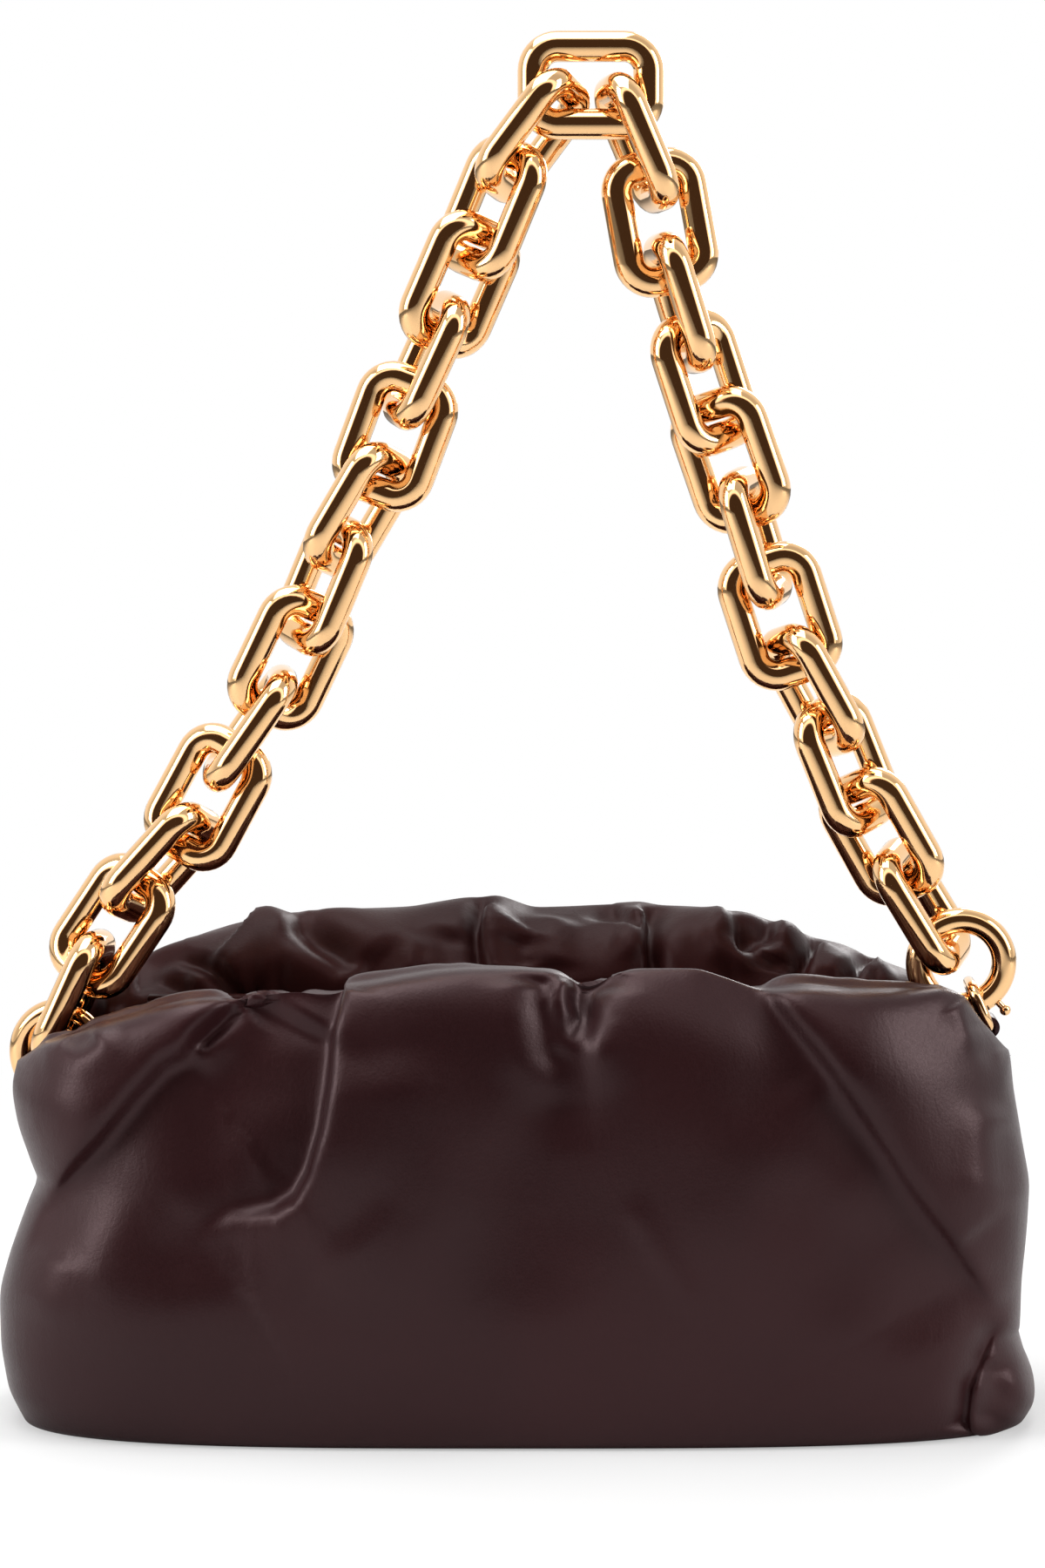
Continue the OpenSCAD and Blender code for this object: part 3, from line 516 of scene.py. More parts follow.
BACK_FOLDS = [
    ([(296, 1050), (312, 1066), (334, 1085), (352, 1103), (387, 1122), (424, 1134)], 6.5, 6, 16, (0.05, 0.2)),
    ([(334, 1058), (356, 1076), (384, 1096), (410, 1122)], -6.0, 6, 6, (0.2, 0.2)),
    ([(340, 1052), (368, 1059), (388, 1071), (404, 1087), (418, 1114)], 4.0, 14, 5, (0.15, 0.2)),
    ([(520, 1060), (516, 1086), (522, 1116)], -2.6, 6, 7, (0.3, 0.2)),
    ([(480, 1070), (476, 1094), (482, 1118)], 1.2, 6, 6, (0.3, 0.2)),
    ([(640, 1050), (634, 1082), (630, 1112)], 2.4, 7, 7, (0.2, 0.2)),
    ([(600, 1072), (598, 1092), (600, 1112)], -2.6, 7, 6, (0.3, 0.2)),
    ([(716, 1048), (702, 1056), (700, 1064)], -3.4, 6, 6, (0.3, 0.3)),
    ([(700, 1078), (716, 1084), (728, 1100)], 1.8, 5, 5, (0.2, 0.3)),
    ([(834, 1048), (799, 1063), (768, 1082), (744, 1100)], 2.8, 9, 6, (0.1, 0.25)),
    ([(932, 1070), (884, 1058), (847, 1060), (831, 1066), (820, 1078), (826, 1092), (850, 1104), (884, 1105)],
     3.6, 6, 4, (0.15, 0.2)),
    ([(842, 1080), (866, 1076), (896, 1069)], -6.0, 4, 4, (0.1, 0.3)),
    ([(862, 1090), (896, 1080), (938, 1078)], 2.4, 3, 6, (0.15, 0.2)),
    ([(890, 1098), (888, 1116)], -2.6, 5, 5, (0.2, 0.2)),
    ([(984, 1106), (966, 1113), (960, 1128)], 2.0, 4, 3, (0.1, 0.2)),
    ([(1060, 1120), (1036, 1128), (1010, 1136)], 2.0, 6, 6, (0.1, 0.2)),
    ([(137, 1117), (171, 1106), (204, 1111), (222, 1128), (222, 1146)], 3.4, 5, 5, (0.1, 0.2)),
    ([(150, 1124), (180, 1118), (200, 1130), (204, 1146)], -4.0, 5, 5, (0.1, 0.2)),
    ([(60, 1176), (84, 1152), (104, 1142), (130, 1140)], 3.0, 5, 7, (0.1, 0.3)),
    ([(70, 1182), (90, 1172), (100, 1190)], -3.0, 5, 5, (0.1, 0.3))]
BACK_LAPS = [
    ([(574, 1030), (561, 1042), (556, 1064), (559, 1116)], 3.0, 14, 6.0, 5, 0.9, 3.0, (0.25, 0.02)),
    ([(736, 1130), (736, 1080), (737, 1056), (730, 1034)], 3.0, 14, 5.5, 7, 0.9, 3.0, (0.02, 0.2)),
    ([(947, 1078), (937, 1098), (924, 1130)], 3.0, 10, 5.0, 5, 0.9, 2.0, (0.2, 0.02)),
    ([(1012, 1100), (994, 1114), (983, 1136)], 3.0, 6, 4.5, 5, 0.9, 2.0, (0.2, 0.02)),
    ([(139, 1106), (171, 1096), (209, 1094), (236, 1101), (257, 1114), (283, 1148)], 3.6, 9, 4.6, 5, 1.0, 2.0,
     (0.2, 0.05))]
# The back panel's outside, which the photograph doesn't show, as it would look from behind
REAR_FOLDS = [
    ([(330, 1120), (275, 1190), (205, 1290), (130, 1390), (70, 1500)], 6.5, 12, 26, (0.05, 0.3)),
    ([(640, 1060), (632, 1140), (650, 1260)], -6.0, 9, 9, (0.03, 0.5)),
    ([(700, 1080), (706, 1180), (690, 1300)], 3.6, 12, 12, (0.1, 0.5)),
    ([(240, 1120), (180, 1180), (100, 1250)], -4.2, 10, 10, (0.1, 0.4)),
    ([(560, 1100), (545, 1200), (500, 1330)], -4.0, 14, 16, (0.1, 0.5)),
    ([(820, 1080), (840, 1200), (800, 1380)], -4.4, 18, 22, (0.1, 0.4)),
    ([(1060, 1180), (1090, 1260), (1130, 1330)], -4.0, 9, 9, (0.1, 0.4)),
    ([(1000, 1130), (1040, 1200), (1100, 1300)], 3.6, 9, 9, (0.1, 0.4)),
    ([(420, 1240), (470, 1330), (560, 1400), (680, 1430)], -3.4, 14, 20, (0.15, 0.5)),
    ([(760, 1300), (700, 1380), (620, 1450)], 3.4, 14, 18, (0.2, 0.5)),
    # A notch where the skin bunches over the frame, with its valleys
    ([(664, 1112), (668, 1150), (664, 1196)], -6.0, 6, 8, (0.01, 0.5)),
    ([(712, 1120), (716, 1170), (704, 1240)], 3.0, 6, 8, (0.1, 0.5)),
    ([(386, 1120), (372, 1180), (330, 1260)], -4.4, 8, 12, (0.1, 0.5)),
    ([(930, 1120), (962, 1200), (1030, 1290)], -3.6, 9, 12, (0.1, 0.5))]
REAR_LAPS = [
    ([(880, 1010), (905, 1110), (935, 1200), (1000, 1310), (1070, 1410), (1140, 1500)],
     4.0, 36, 5.0, 28, 1.7, 2.0, (0.01, 0.15)),
    ([(280, 1420), (360, 1370), (408, 1280), (432, 1170), (440, 1010)][::-1], 4.2, 32, 5.0, 22, 1.3, 4.0,
     (0.01, 0.4)),
    ([(740, 1010), (752, 1120), (790, 1230), (806, 1330), (780, 1400)],
     3.6, 26, 4.0, 20, 1.3, 2.6, (0.01, 0.45)),
    ([(180, 1080), (214, 1160), (206, 1250), (150, 1330), (84, 1380)],
     3.4, 20, 4.0, 16, 1.3, 2.0, (0.05, 0.4))]


def relief(place, folds, laps, swells=()):
    """How far all the folds of a surface stand out together, and how far laps slide it, in millimetres."""
    height, slide = np.zeros(place.shape[:-1]), np.zeros(place.shape)
    for route, rise, left, right, ends in folds:
        height += fold(place, route, rise, left, right, ends)
    for row in laps:
        rise, shift = lap(place, *row)
        height += rise
        slide += shift
    for swell in swells:
        height += blister(place, *swell)
    return height, slide


print("folds:", len(FRONT_FOLDS + FRONT_LAPS), "in front,", len(BACK_FOLDS + BACK_LAPS), "behind the mouth")

# %% [markdown]
# ## One leather panel with its facing
# On the bag each panel and the facing that it turns into are one piece of skin to the eye. So
# each is made from one grid: its rows climb from the floor to the crest, roll over it and go
# down into the mouth. Grid rows and columns make it easy to place folds and to keep the faces
# even, and a thickness is added at the end.

# %% Panel grid
COLUMNS, CLIMB, MOUTH = 330, 108, 36
JAW_TOP, JAW_SIDE = 119.5 * MM, 7.6 * MM
# Where the side seams end, half the crest's width, and the angle at which a panel leaves the floor
LEFT_TOP, RIGHT_TOP, CREST_HALF, FLOOR_ANGLE = 89.7 * MM, 110 * MM, 149 * MM, -86
# Beyond the jaws the facing goes down this far, stays this far from the outer skin, and leans in
MOUTH_DROP, FACING_GAP, LEAN_IN = 14 * MM, 9 * MM, 7 * MM
SEAM_GAP, SEAM_CALM, SKIN = 0.3 * MM, 9 * MM, 1.9 * MM
# Shares of the half width: the crest rises from each seam over the first two, and the jaws
# hold the facing up to the third, which fades over the last
LEFT_RISE, RIGHT_RISE, HELD, HELD_FADE = 0.14, 0.1, 0.62, 0.12
MIDDLE = (0, 0, 0.07)


def smooth(share):
    """A share that starts and ends softly between nothing and one."""
    share = np.clip(share, 0, 1)
    return share * share * (3 - 2 * share)


def panel_base(side):
    """Smooth shape of one panel: its points by row and column, its climb and its way into the mouth."""
    u = np.linspace(-1, 1, COLUMNS + 1)[None, :]
    across, depth = squared_oval(u)
    depth = np.where(np.abs(u) >= 1, 0, depth)
    line = (front_x, front_z) if side < 0 else (back_x, back_z)
    crest = np.interp(across * CREST_HALF, *line)
    low_end = np.interp(u, [-0.6, 0.6], [LEFT_TOP, RIGHT_TOP])
    left_lift = smooth((1 - np.abs(u)) / LEFT_RISE) ** 0.7
    right_lift = smooth((1 - np.abs(u)) / RIGHT_RISE)
    crest = low_end + (crest - low_end) * np.where(u < 0, left_lift, right_lift)
    crest = softened(crest[0], 4)[None, :]
    angle = np.concatenate([np.linspace(FLOOR_ANGLE, 90, CLIMB + 1), np.full(MOUTH, 90)])[:, None]
    into = np.concatenate([np.zeros(CLIMB + 1), np.linspace(0, 1, MOUTH + 1)[1:]])[:, None]
    belly = BELLY * crest
    rise = np.radians(angle)
    z = np.where(angle < 0, belly * (1 + np.sin(rise)), belly + (crest - belly) * np.sin(rise))
    radial = np.where(angle < 0, BASE_DEPTH + (1 - BASE_DEPTH) * np.sqrt(np.cos(rise)),
                      CREST_DEPTH + (1 - CREST_DEPTH) * np.cos(rise))
    half = np.where(across < 0, -np.interp(z, left_z, left_x), np.interp(z, right_z, right_x))
    x = half * across
    y = HALF_DEPTH * radial * depth
    centre = smooth((HELD - np.abs(u)) / HELD_FADE)
    floor = JAW_TOP * centre + (crest - MOUTH_DROP) * (1 - centre)
    inner = JAW_SIDE * centre + np.maximum(y - FACING_GAP, 0.35 * y) * (1 - centre)
    turn = pi / 2 * into
    y = y + (inner - y) * np.sin(turn) ** 1.15
    z = z + (floor - z) * (1 - np.cos(turn))
    # The mouth's ends lean in over the bag, or they would show outside its outline
    x = x - np.sign(across) * LEAN_IN * np.sin(turn) * (1 - centre)
    points = np.stack([x, side * (y + SEAM_GAP), z], -1)
    return points, angle + 0 * x, into + 0 * x


def outward(points, side):
    """Unit normals of a grid of points, pointing out of the bag."""
    across = np.gradient(points, axis=1)
    up = np.gradient(points, axis=0)
    normal = np.cross(across, up)
    normal /= np.maximum(np.linalg.norm(normal, axis=-1, keepdims=True), 1e-12)
    return normal if side < 0 else -normal


def front_folds(points, angle, into):
    """How far the front panel's folds stand out and slide, in millimetres."""
    height, slide = relief(shown_place(points), FRONT_FOLDS, FRONT_LAPS, FRONT_SWELLS)
    share = smooth((angle - FLOOR_ANGLE) / 12) * (1 - smooth(into / 0.45))
    return height * share, slide * share[..., None]


def back_folds(points, angle, into):
    """The back panel's folds: those that show over the mouth, and those of its outside."""
    mouth, mouth_slide = relief(shown_place(points), BACK_FOLDS, BACK_LAPS)
    outside, slide = relief(shown_place(points * np.array([-1, -1, 1])), REAR_FOLDS, REAR_LAPS)
    mouth_share = smooth((angle - 72) / 18) * (1 - smooth((into - 0.6) / 0.4))
    share = smooth((angle - FLOOR_ANGLE) / 12) * (1 - smooth((angle - 60) / 28))
    slide = slide * np.array([-1, 1]) * share[..., None]
    return mouth * mouth_share + outside * share, mouth_slide * mouth_share[..., None] + slide


def crest_calm(angle, into):
    """Nearly nothing close to the crest, and one away from it."""
    return 1 - 0.85 * np.exp(-((90 - angle) / 20) ** 2 - (into / 0.12) ** 2)


def gathers(points, into, side):
    """Small pleats where the panel turns down into the mouth, in millimetres."""
    x = points[..., 0] / MM
    wander = waves(x, 3 if side < 0 else 8, (61, 37, 23))
    run = 2 * pi * (x / 19 + 0.5 * wander)
    pleat = np.abs(np.cos(run / 2)) - 0.62
    swell = 0.5 + 0.5 * waves(x, 5 if side < 0 else 6, (83, 47))
    reach = smooth(into / 0.5) if side < 0 else smooth((into - 0.35) / 0.5)
    return pleat * 3.0 * reach * (0.45 + 0.55 * swell)


def grid_piece(name, points):
    """A mesh grid whose points are moved to the given ones."""
    rows, columns = points.shape[:2]
    bpy.ops.object.select_all(action="DESELECT")
    bpy.ops.mesh.primitive_grid_add(x_subdivisions=columns - 1, y_subdivisions=rows - 1, size=1)
    piece = bpy.context.object
    piece.name = name
    piece.data.vertices.foreach_set("co", points.reshape(-1).astype(np.float32))
    piece.data.update()
    return piece


def panel(name, side):
    """Make one panel with its facing, from a grid whose points are moved into place."""
    points, angle, into = panel_base(side)
    normal = outward(points, side)
    # The outline seen from the front stays, so little heave goes sideways, or up at the crest
    normal[..., 0] *= 0.4 * (1 - smooth((np.abs(points[..., 0]) - 110 * MM) / (30 * MM)))
    normal[..., 2] *= crest_calm(angle, into)
    heave, slide = (front_folds if side < 0 else back_folds)(points, angle, into)
    heave = heave + gathers(points, into, side)
    soft = waves(points[..., 0] / MM + 0.4 * points[..., 2] / MM, 11, (97, 61, 43))
    soft = soft * waves(points[..., 2] / MM - 0.3 * points[..., 0] / MM, 12, (71, 45, 33))
    heave = heave + 0.9 * soft * smooth((angle + 80) / 30)
    if side > 0:
        heave = heave + back_drape(points) * smooth((angle + 60) / 60) * (1 - smooth(into / 0.3))
    at_seam = smooth(np.abs(points[..., 1]) / SEAM_CALM)
    points = points + normal * (heave * at_seam * MM)[..., None]
    points[..., 0] += slide[..., 0] * at_seam * MM
    points[..., 2] -= slide[..., 1] * at_seam * MM
    wide = np.linalg.norm(np.diff(points, axis=1), axis=-1).sum(1).max()
    long = np.linalg.norm(np.diff(points, axis=0), axis=-1).sum(0).max()
    print(name, "is at most", round(wide, 3), "m wide and", round(long, 3), "m long")
    return grid_piece(name, points)


def back_drape(points):
    """Broad folds down the back panel, which the photograph doesn't show."""
    x, z = points[..., 0] / MM, points[..., 2] / MM
    lean = x + 0.35 * (z - 150) * np.sin(x / 90)
    return 1.2 * waves(lean, 21, (96, 63, 45)) * smooth((z - 15) / 90)


front = panel("front_leather", -1)
back = panel("back_leather", 1)
print("grid points in each panel:", len(front.data.vertices))


# %% Thickness and shading of the panels
def select_only(piece):
    """Select one piece and make it active, as the operators need."""
    bpy.ops.object.select_all(action="DESELECT")
    piece.select_set(True)
    bpy.context.view_layer.objects.active = piece


def apply_all(piece):
    """Apply a piece's modifiers in their order."""
    select_only(piece)
    for modifier in list(piece.modifiers):
        bpy.ops.object.modifier_apply(modifier=modifier.name)


def cloth_area(piece):
    """Area of a thin piece, which has two sides, in square metres."""
    return sum(p.area for p in piece.data.polygons) / 2


def dress(piece, material):
    """Give a piece its material and slot, and smooth its shading."""
    piece.data.materials.clear()
    piece.data.materials.append(material)
    select_only(piece)
    bpy.ops.object.shade_smooth()


def pointing_in(piece, towards):
    """Whether a sheet's faces look towards a point more than away from it."""
    total = sum((p.normal.dot(Vector(towards) - p.center) * p.area) for p in piece.data.polygons)
    return total > 0


def thicken(piece, thickness):
    """Turn a sheet's faces out of the bag, and give it a thickness towards the inside."""
    if pointing_in(piece, MIDDLE):
        piece.data.flip_normals()
    wall = piece.modifiers.new("wall", "SOLIDIFY")
    wall.thickness, wall.offset = thickness, -1
    apply_all(piece)


for piece, skin, nodes in ((front, leather, ("outer_front_panel", "front_facing")),
                           (back, puff_leather, ("outer_back_panel", "back_facing"))):
    thicken(piece, SKIN)
    dress(piece, skin)
    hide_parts(*nodes)
    print(piece.name, "faces", len(piece.data.polygons), "area", round(cloth_area(piece), 4))
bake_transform(front, "pouch", "front_jaw", start=(0, -0.05, 0.085), end=(0, -0.02, 0.135))
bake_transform(back, "pouch", "back_jaw", start=(0, 0.05, 0.085), end=(0, 0.02, 0.135))

# %% [markdown]
# ## Chain links
# A link is round wire bent to a rectangle with tight corners. A ring of points is pushed along
# each straight side and spun a quarter turn at each corner, as the wire is bent round a former.
# One link is made, and a copy is laid on each solid link, whose own lie gives the copy's.

# %% Model one link
WIRE, LINK_LONG, LINK_WIDE, BEND = 9.2 * MM, 34.3 * MM, 22.8 * MM, 7.2 * MM


def bent_loop(name, wire, length, width, bend, around=28, corner=9):
    """A closed loop of round wire, long along Z and wide along X, with its middle at zero."""
    bpy.ops.object.select_all(action="DESELECT")
    bpy.ops.mesh.primitive_circle_add(vertices=around, radius=wire / 2,
                                      location=(width / 2, 0, bend - length / 2))
    piece = bpy.context.object
    piece.name = name
    bpy.ops.object.transform_apply(location=True)
    bpy.ops.object.mode_set(mode="EDIT")
    bpy.ops.mesh.select_all(action="SELECT")
    long_side, wide_side = length - 2 * bend, width - 2 * bend
    runs = [(0, 0, long_side), (-wide_side, 0, 0), (0, 0, -long_side), (wide_side, 0, 0)]
    corners = [(1, 1), (-1, 1), (-1, -1), (1, -1)]
    for run, (sx, sz) in zip(runs, corners):
        if Vector(run).length > 1e-7:
            bpy.ops.mesh.extrude_region_move(TRANSFORM_OT_translate={"value": run})
        bpy.ops.mesh.spin(steps=corner, angle=pi / 2, axis=(0, 1, 0),
                          center=(sx * (width / 2 - bend), 0, sz * (length / 2 - bend)))
    bpy.ops.mesh.select_all(action="SELECT")
    bpy.ops.mesh.remove_doubles(threshold=wire * 0.002)
    bpy.ops.mesh.normals_make_consistent(inside=False)
    bpy.ops.object.mode_set(mode="OBJECT")
    return piece


link = bent_loop("link_pattern", WIRE, LINK_LONG, LINK_WIDE, BEND)
print("one link:", len(link.data.polygons), "faces, size in mm:", [round(d / MM, 1) for d in link.dimensions])


# %% Lay a copy on each solid link
def lie_of(node):
    """Middle and axes of a solid loop: across the wire's plane, then its width, then its length."""
    mesh = frame["nodes"][node].data
    corners = np.array([v.co for v in mesh.vertices])
    mesh.calc_loop_triangles()
    faces = corners[np.array([t.vertices for t in mesh.loop_triangles])]
    area = np.linalg.norm(np.cross(faces[:, 1] - faces[:, 0], faces[:, 2] - faces[:, 0]), axis=1)
    centres = faces.mean(1)
    middle = (centres * area[:, None]).sum(0) / area.sum()
    spread = (centres - middle).T @ ((centres - middle) * area[:, None])
    axes = np.linalg.eigh(spread)[1]
    thin, wide, long = axes[:, 0], axes[:, 1], axes[:, 2]
    if np.dot(np.cross(wide, thin), long) < 0:
        thin = -thin
    return Matrix.Translation(middle) @ Matrix(np.stack([wide, thin, long], 1)).to_4x4()


def copy_onto(pattern, node):
    """Lay a polished copy of a pattern on a solid loop, in whose place it then stands."""
    piece = pattern.copy()
    piece.data = pattern.data.copy()
    piece.name = node + "_polished"
    bpy.context.scene.collection.objects.link(piece)
    piece.data.transform(lie_of(node))
    dress(piece, gold)
    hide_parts(node)
    body = body_of(frame["nodes"][node])[0]
    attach(piece, body)


link_nodes = [n for n in frame["nodes"] if "_link" in n]
for node in link_nodes:
    copy_onto(link, node)
bpy.data.objects.remove(link)
print("links laid:", len(link_nodes))

# %% Tab rings from the same tool
def loop_size(node, wire):
    """Length and width of a solid loop at the middle of its wire, from its own lie."""
    back = lie_of(node).inverted()
    turned = np.array([back @ v.co for v in frame["nodes"][node].data.vertices])
    size = turned.max(0) - turned.min(0)
    return size[2] - wire, size[0] - wire


RING_WIRE, RING_BEND_SHARE = 3.5 * MM, 0.28
for side in ("left", "right"):
    node = side + "_tab_ring"
    long, wide = loop_size(node, RING_WIRE)
    ring = bent_loop(node + "_pattern", RING_WIRE, long, wide, RING_BEND_SHARE * long, 24, 10)
    copy_onto(ring, node)
    bpy.data.objects.remove(ring)
    print(node, "long", round(long / MM, 1), "wide", round(wide / MM, 1))

# %% [markdown]
# ## Base, lining and tabs
# These pieces are cut from sheet, so the solid's own outline is their pattern. A copy of its
# skin is merged into one surface; the leather pieces get round edges, and the cloth gets soft
# folds. The lining is sewn from two halves, so that each can go with its jaw.


# %% Start a piece from a solid's own skin
def skin_of(node, name, quads=True):
    """A merged copy of a solid's faces, to be finished as a piece."""
    piece = frame["nodes"][node].copy()
    piece.data = frame["nodes"][node].data.copy()
    piece.parent = None
    # The copy drops the solid's own properties
    for key in list(piece.keys()):
        del piece[key]
    piece.name = name
    bpy.context.scene.collection.objects.link(piece)
    piece.hide_render = piece.hide_viewport = False
    piece.hide_set(False)
    select_only(piece)
    bpy.ops.object.mode_set(mode="EDIT")
    bpy.ops.mesh.select_all(action="SELECT")
    bpy.ops.mesh.customdata_custom_splitnormals_clear()
    bpy.ops.mesh.remove_doubles(threshold=0.00002)
    if quads:
        bpy.ops.mesh.tris_convert_to_quads(face_threshold=radians(50), shape_threshold=radians(50))
    else:
        bpy.ops.mesh.dissolve_limited(angle_limit=radians(2))
    bpy.ops.mesh.normals_make_consistent(inside=False)
    bpy.ops.object.mode_set(mode="OBJECT")
    return piece


def round_edges(piece, width, segments=3):
    """Round a piece's sharp edges, as cut leather is rubbed round."""
    edge = piece.modifiers.new("edge", "BEVEL")
    edge.width, edge.segments, edge.limit_method, edge.angle_limit = width, segments, "ANGLE", radians(40)
    apply_all(piece)


def make_finer(piece):
    """Divide each edge into four, so that folds have points to move."""
    finer = piece.modifiers.new("finer", "SUBSURF")
    finer.subdivision_type, finer.levels, finer.render_levels = "SIMPLE", 2, 2
    apply_all(piece)


def move_points(piece, change):
    """Move a mesh's points by a function of all their places."""
    place = np.empty(len(piece.data.vertices) * 3, np.float32)
    piece.data.vertices.foreach_get("co", place)
    moved = change(place.reshape(-1, 3).astype(float))
    piece.data.vertices.foreach_set("co", moved.reshape(-1).astype(np.float32))
    piece.data.update()


base = skin_of("base_panel", "base_leather", quads=False)
round_edges(base, 0.9 * MM)
dress(base, leather)
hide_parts("base_panel")
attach(base, "pouch")
print("base:", len(base.data.polygons), "faces")


# %% Lining in two halves
def lining_folds(place):
    """Soft vertical folds, deepest half way up, always towards the inside."""
    z = place[:, 2] / MM
    turn = np.arctan2(place[:, 1] * 2.2, place[:, 0])
    amount = (1.2 + 1.2 * np.sin(14 * turn + 2.2 * np.sin(3 * turn) + 0.02 * z)) * smooth((z - 12) / 25)
    amount *= 1 - 0.8 * smooth((z - 92) / 16)
    inwards = -place * np.array([1, 1, 0])
    inwards /= np.maximum(np.linalg.norm(inwards, axis=1, keepdims=True), 1e-6)
    return place + inwards * (amount * MM)[:, None]


for half, side in (("front", -1), ("back", 1)):
    cloth = skin_of("lining", half + "_lining")
    select_only(cloth)
    bpy.ops.object.mode_set(mode="EDIT")
    bpy.ops.mesh.select_all(action="SELECT")
    bpy.ops.mesh.bisect(plane_co=(0, 0, 0), plane_no=(0, side, 0), clear_inner=True, use_fill=False)
    bpy.ops.mesh.select_all(action="SELECT")
    bpy.ops.mesh.remove_doubles(threshold=0.00005)
    bpy.ops.mesh.select_all(action="DESELECT")
    bpy.ops.mesh.select_non_manifold()
    bpy.ops.mesh.fill()
    bpy.ops.mesh.select_all(action="SELECT")
    bpy.ops.mesh.normals_make_consistent(inside=False)
    bpy.ops.object.mode_set(mode="OBJECT")
    make_finer(cloth)
    move_points(cloth, lining_folds)
    dress(cloth, suede)
    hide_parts("lining")
    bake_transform(cloth, "pouch", half + "_jaw", start=(0, 0, 0.116), end=(0, side * 0.0039, 0.1205))
    print(cloth.name, len(cloth.data.polygons), "faces, area", round(cloth_area(cloth), 4))

pocket = skin_of("slip_pocket", "pocket_cloth")
make_finer(pocket)
move_points(pocket, lambda place: lining_folds(place) + np.array([0, -0.2 * MM, 0]))
dress(pocket, suede)
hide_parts("slip_pocket")
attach(pocket, "pouch")
print("pocket area", round(cloth_area(pocket), 4))

# %% Tabs
for side in ("left", "right"):
    strap = skin_of(side + "_tab", side + "_tab_leather", quads=False)
    round_edges(strap, 0.35 * MM, 2)
    dress(strap, leather)
    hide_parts(side + "_tab")
    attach(strap, "pouch")
    print(strap.name, len(strap.data.polygons), "faces")

# %% [markdown]
# ## Covered jaws and end gussets
# The bars of the steel jaws lie in sewn leather channels, so that one sees skin there and not
# metal. Inside each end a gusset stands behind the side seam: it is hidden while the bag is
# shut, and it closes most of the end when the mouth opens.


# %% Channels on the jaw bars
BAR_MIDDLE, BAR_THICK, BAR_TALL = 4 * MM, 4 * MM, 8 * MM
CHANNEL_WALL, CHANNEL_ROUND, CHANNEL_CUTS = 0.45 * MM, 0.9 * MM, 24
for half in ("front", "back"):
    low, high = (Vector(c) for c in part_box(half + "_jaw_bar"))
    bar_low = high.z - BAR_TALL
    y_mid = (-1 if half == "front" else 1) * BAR_MIDDLE
    bpy.ops.object.select_all(action="DESELECT")
    bpy.ops.mesh.primitive_cube_add(size=1)
    channel = bpy.context.object
    channel.name = half + "_jaw_channel"
    size = Vector((high.x - low.x, BAR_THICK, BAR_TALL)) + 2 * CHANNEL_WALL * Vector((1, 1, 1))
    middle = Vector(((low.x + high.x) / 2, y_mid, (bar_low + high.z) / 2))
    channel.data.transform(Matrix.Translation(middle) @ Matrix.Diagonal(size).to_4x4())
    bpy.ops.object.mode_set(mode="EDIT")
    bpy.ops.mesh.select_all(action="SELECT")
    bpy.ops.mesh.bevel(offset=CHANNEL_ROUND, segments=3, affect="EDGES")
    for step in range(1, CHANNEL_CUTS):
        bpy.ops.mesh.select_all(action="SELECT")
        at = middle.x + (step / CHANNEL_CUTS - 0.5) * size.x
        bpy.ops.mesh.bisect(plane_co=(at, 0, 0), plane_no=(1, 0, 0))
    bpy.ops.object.mode_set(mode="OBJECT")
    dress(channel, puff_leather)
    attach(channel, half + "_jaw")
    print(channel.name, [round(d / MM, 1) for d in size])


# %% Gussets inside the two ends
GUSSET_WALL, BEHIND_SKIN, INSIDE_END = 0.6 * MM, 3.4 * MM, 2.6 * MM
# How far a gusset reaches along each panel as a share, its foot, and its rows and columns
GUSSET_REACH, GUSSET_FOOT, GUSSET_ROWS, GUSSET_COLUMNS = 0.42, 3 * MM, 28, 24


def gusset(name, side):
    """A thin sheet just inside one end of the bag, across the side seam."""
    u = side * (1 - np.abs(np.linspace(-GUSSET_REACH, GUSSET_REACH, GUSSET_COLUMNS + 1)))[None, :]
    back_or_front = np.sign(np.linspace(-1, 1, GUSSET_COLUMNS + 1))[None, :]
    top = LEFT_TOP if side < 0 else RIGHT_TOP
    z = np.linspace(GUSSET_FOOT, top, GUSSET_ROWS + 1)[:, None]
    across, depth = squared_oval(u)
    half = (-np.interp(z, left_z, left_x) if side < 0 else np.interp(z, right_z, right_x)) - INSIDE_END
    share = np.clip((z - 55 * MM) / (85 * MM), 0, 1)
    radial = 1 - (1 - CREST_DEPTH) * share ** 1.5
    low = np.clip(1 - z / (50 * MM), 0, 1)
    radial = radial - (1 - BASE_DEPTH) * low ** 2
    x = half * across
    y = back_or_front * (HALF_DEPTH * radial - BEHIND_SKIN) * depth
    piece = grid_piece(name, np.stack([x + 0 * y, y, z + 0 * y], -1))
    thicken(piece, GUSSET_WALL)
    return piece


# Each end's side, and its sheet's length round the end, its height and its area
for name, side, flat, area in (("left", -1, (0.09, 0.088), 0.00776), ("right", 1, (0.09, 0.108), 0.00924)):
    piece = gusset(name + "_gusset", side)
    dress(piece, puff_leather)
    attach(piece, "pouch")
    print(piece.name, len(piece.data.polygons), "faces")

# %% Finishes of the solids that stay
for node, piece in frame["nodes"].items():
    if piece.hide_render:
        continue
    finish = gold
    if "jaw" in node or "magnet" in node or "spring" in node:
        finish = steel
    if node == "base_board":
        finish = fibre
    piece.data.materials.clear()
    piece.data.materials.append(finish)
    print(node, finish.name)

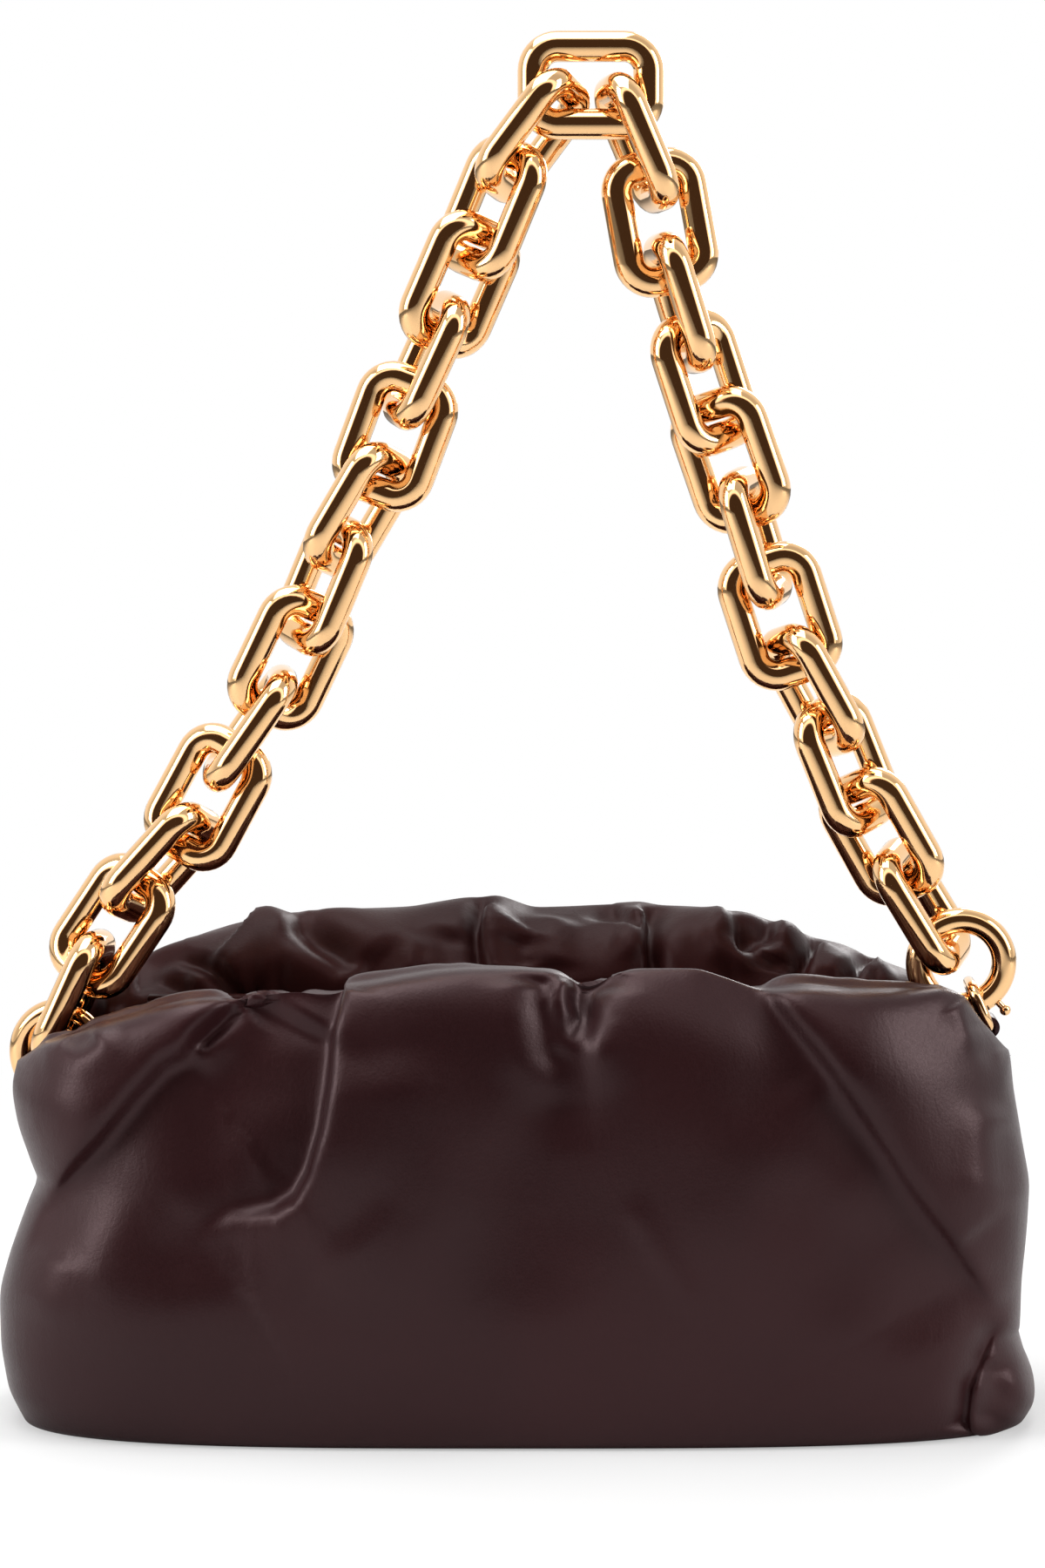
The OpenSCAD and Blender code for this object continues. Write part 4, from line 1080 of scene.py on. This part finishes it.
# %% [markdown]
# ## Floor, light and surroundings
# Product pictures of polished metal are lit by large soft boxes and white cards, and the dark
# bands down each bar are the unlit side of the room, where the camera stands. The world gives
# both: white behind and beside the bag, and a darker patch in front that only reflections show.
# The lamp behind the bag lights its back, which the photograph doesn't show.

# %% Stage
bpy.ops.object.select_all(action="DESELECT")
bpy.ops.mesh.primitive_plane_add(size=8, location=(0, 1.5, 0))
floor = bpy.context.object
floor.name = "floor"
floor_material, tree, shader, place = new_material("white_floor")
shader.inputs["Base Color"].default_value = (0.93, 0.93, 0.93, 1)
shader.inputs["Roughness"].default_value = 0.7
shader.inputs["Specular IOR Level"].default_value = 0.1
away = place.node("ShaderNodeVectorMath", out=1, props={"operation": "DISTANCE"}, i0=place, i1=(0, -1.5, 0))
glow = tree.nodes.new("ShaderNodeEmission")
to_eye = Sock(tree, tree.nodes.new("ShaderNodeLightPath").outputs["Is Camera Ray"])
fade = tree.nodes.new("ShaderNodeMixShader")
feed(tree, (0.4 + 0.6 * away.between(0.2, 0.62)) * to_eye, fade.inputs[0])
tree.links.new(shader.outputs[0], fade.inputs[1])
tree.links.new(glow.outputs[0], fade.inputs[2])
tree.links.new(fade.outputs[0], tree.nodes["Material Output"].inputs["Surface"])
floor.data.materials.append(floor_material)

world = bpy.data.worlds.new("studio")
bpy.context.scene.world = world
world.use_nodes = True
sky = world.node_tree
background = sky.nodes["Background"]
direction = Sock(sky, sky.nodes.new("ShaderNodeTexCoord").outputs["Generated"])
path = sky.nodes.new("ShaderNodeLightPath")
to_camera = Sock(sky, path.outputs["Is Camera Ray"])
glossy = Sock(sky, path.outputs["Is Glossy Ray"])
facing = 0.0 - direction.node("ShaderNodeSeparateXYZ", out=1, Vector=direction)
card = facing.between(0.40, 0.47) * (1 - facing.between(0.58, 0.64))
beside = 0.62 + 0.43 * (1 - facing.between(-0.5, 0.1))
seen_in_metal = (beside + 1.1 * card) * (1 - facing.between(0.58, 0.66)) + 0.06
room = 0.16
level = to_camera + (1 - to_camera) * (glossy * seen_in_metal + (1 - glossy) * room)
sky.links.new(level.socket, background.inputs["Strength"])
unlit = glossy * facing.between(0.55, 0.66)
UNLIT_TINT = (1.0, 0.62, 0.42)
tinted = mix_colour(direction, unlit, (1.0, 1.0, 1.0), UNLIT_TINT)
sky.links.new(tinted.socket, background.inputs["Color"])


def soft_box(name, place, look, size, power):
    """A rectangular lamp that looks at a point."""
    light = bpy.data.lights.new(name, "AREA")
    light.shape, light.size, light.size_y, light.energy = "RECTANGLE", size[0], size[1], power
    lamp = bpy.data.objects.new(name, light)
    bpy.context.scene.collection.objects.link(lamp)
    lamp.matrix_world = (Matrix.Translation(place)
                         @ (Vector(place) - Vector(look)).to_track_quat("Z", "Y").to_matrix().to_4x4())


# Each row: place, point that it faces, width and height, watts
LAMPS = {"top_box": ((-0.2, 0.05, 1.2), (0, 0, 0.1), (0.9, 0.8), 11),
         "left_box": ((-1.15, -0.4, 0.75), (0, 0, 0.15), (0.4, 1.0), 9.5),
         "right_box": ((1.15, -0.35, 0.7), (0, 0, 0.15), (0.3, 0.9), 8),
         "rear_box": ((0.5, 1.3, 0.8), (0, 0, 0.12), (0.4, 0.9), 8)}
for name, row in LAMPS.items():
    soft_box(name, *row)
bpy.context.scene.view_settings.view_transform = "Standard"
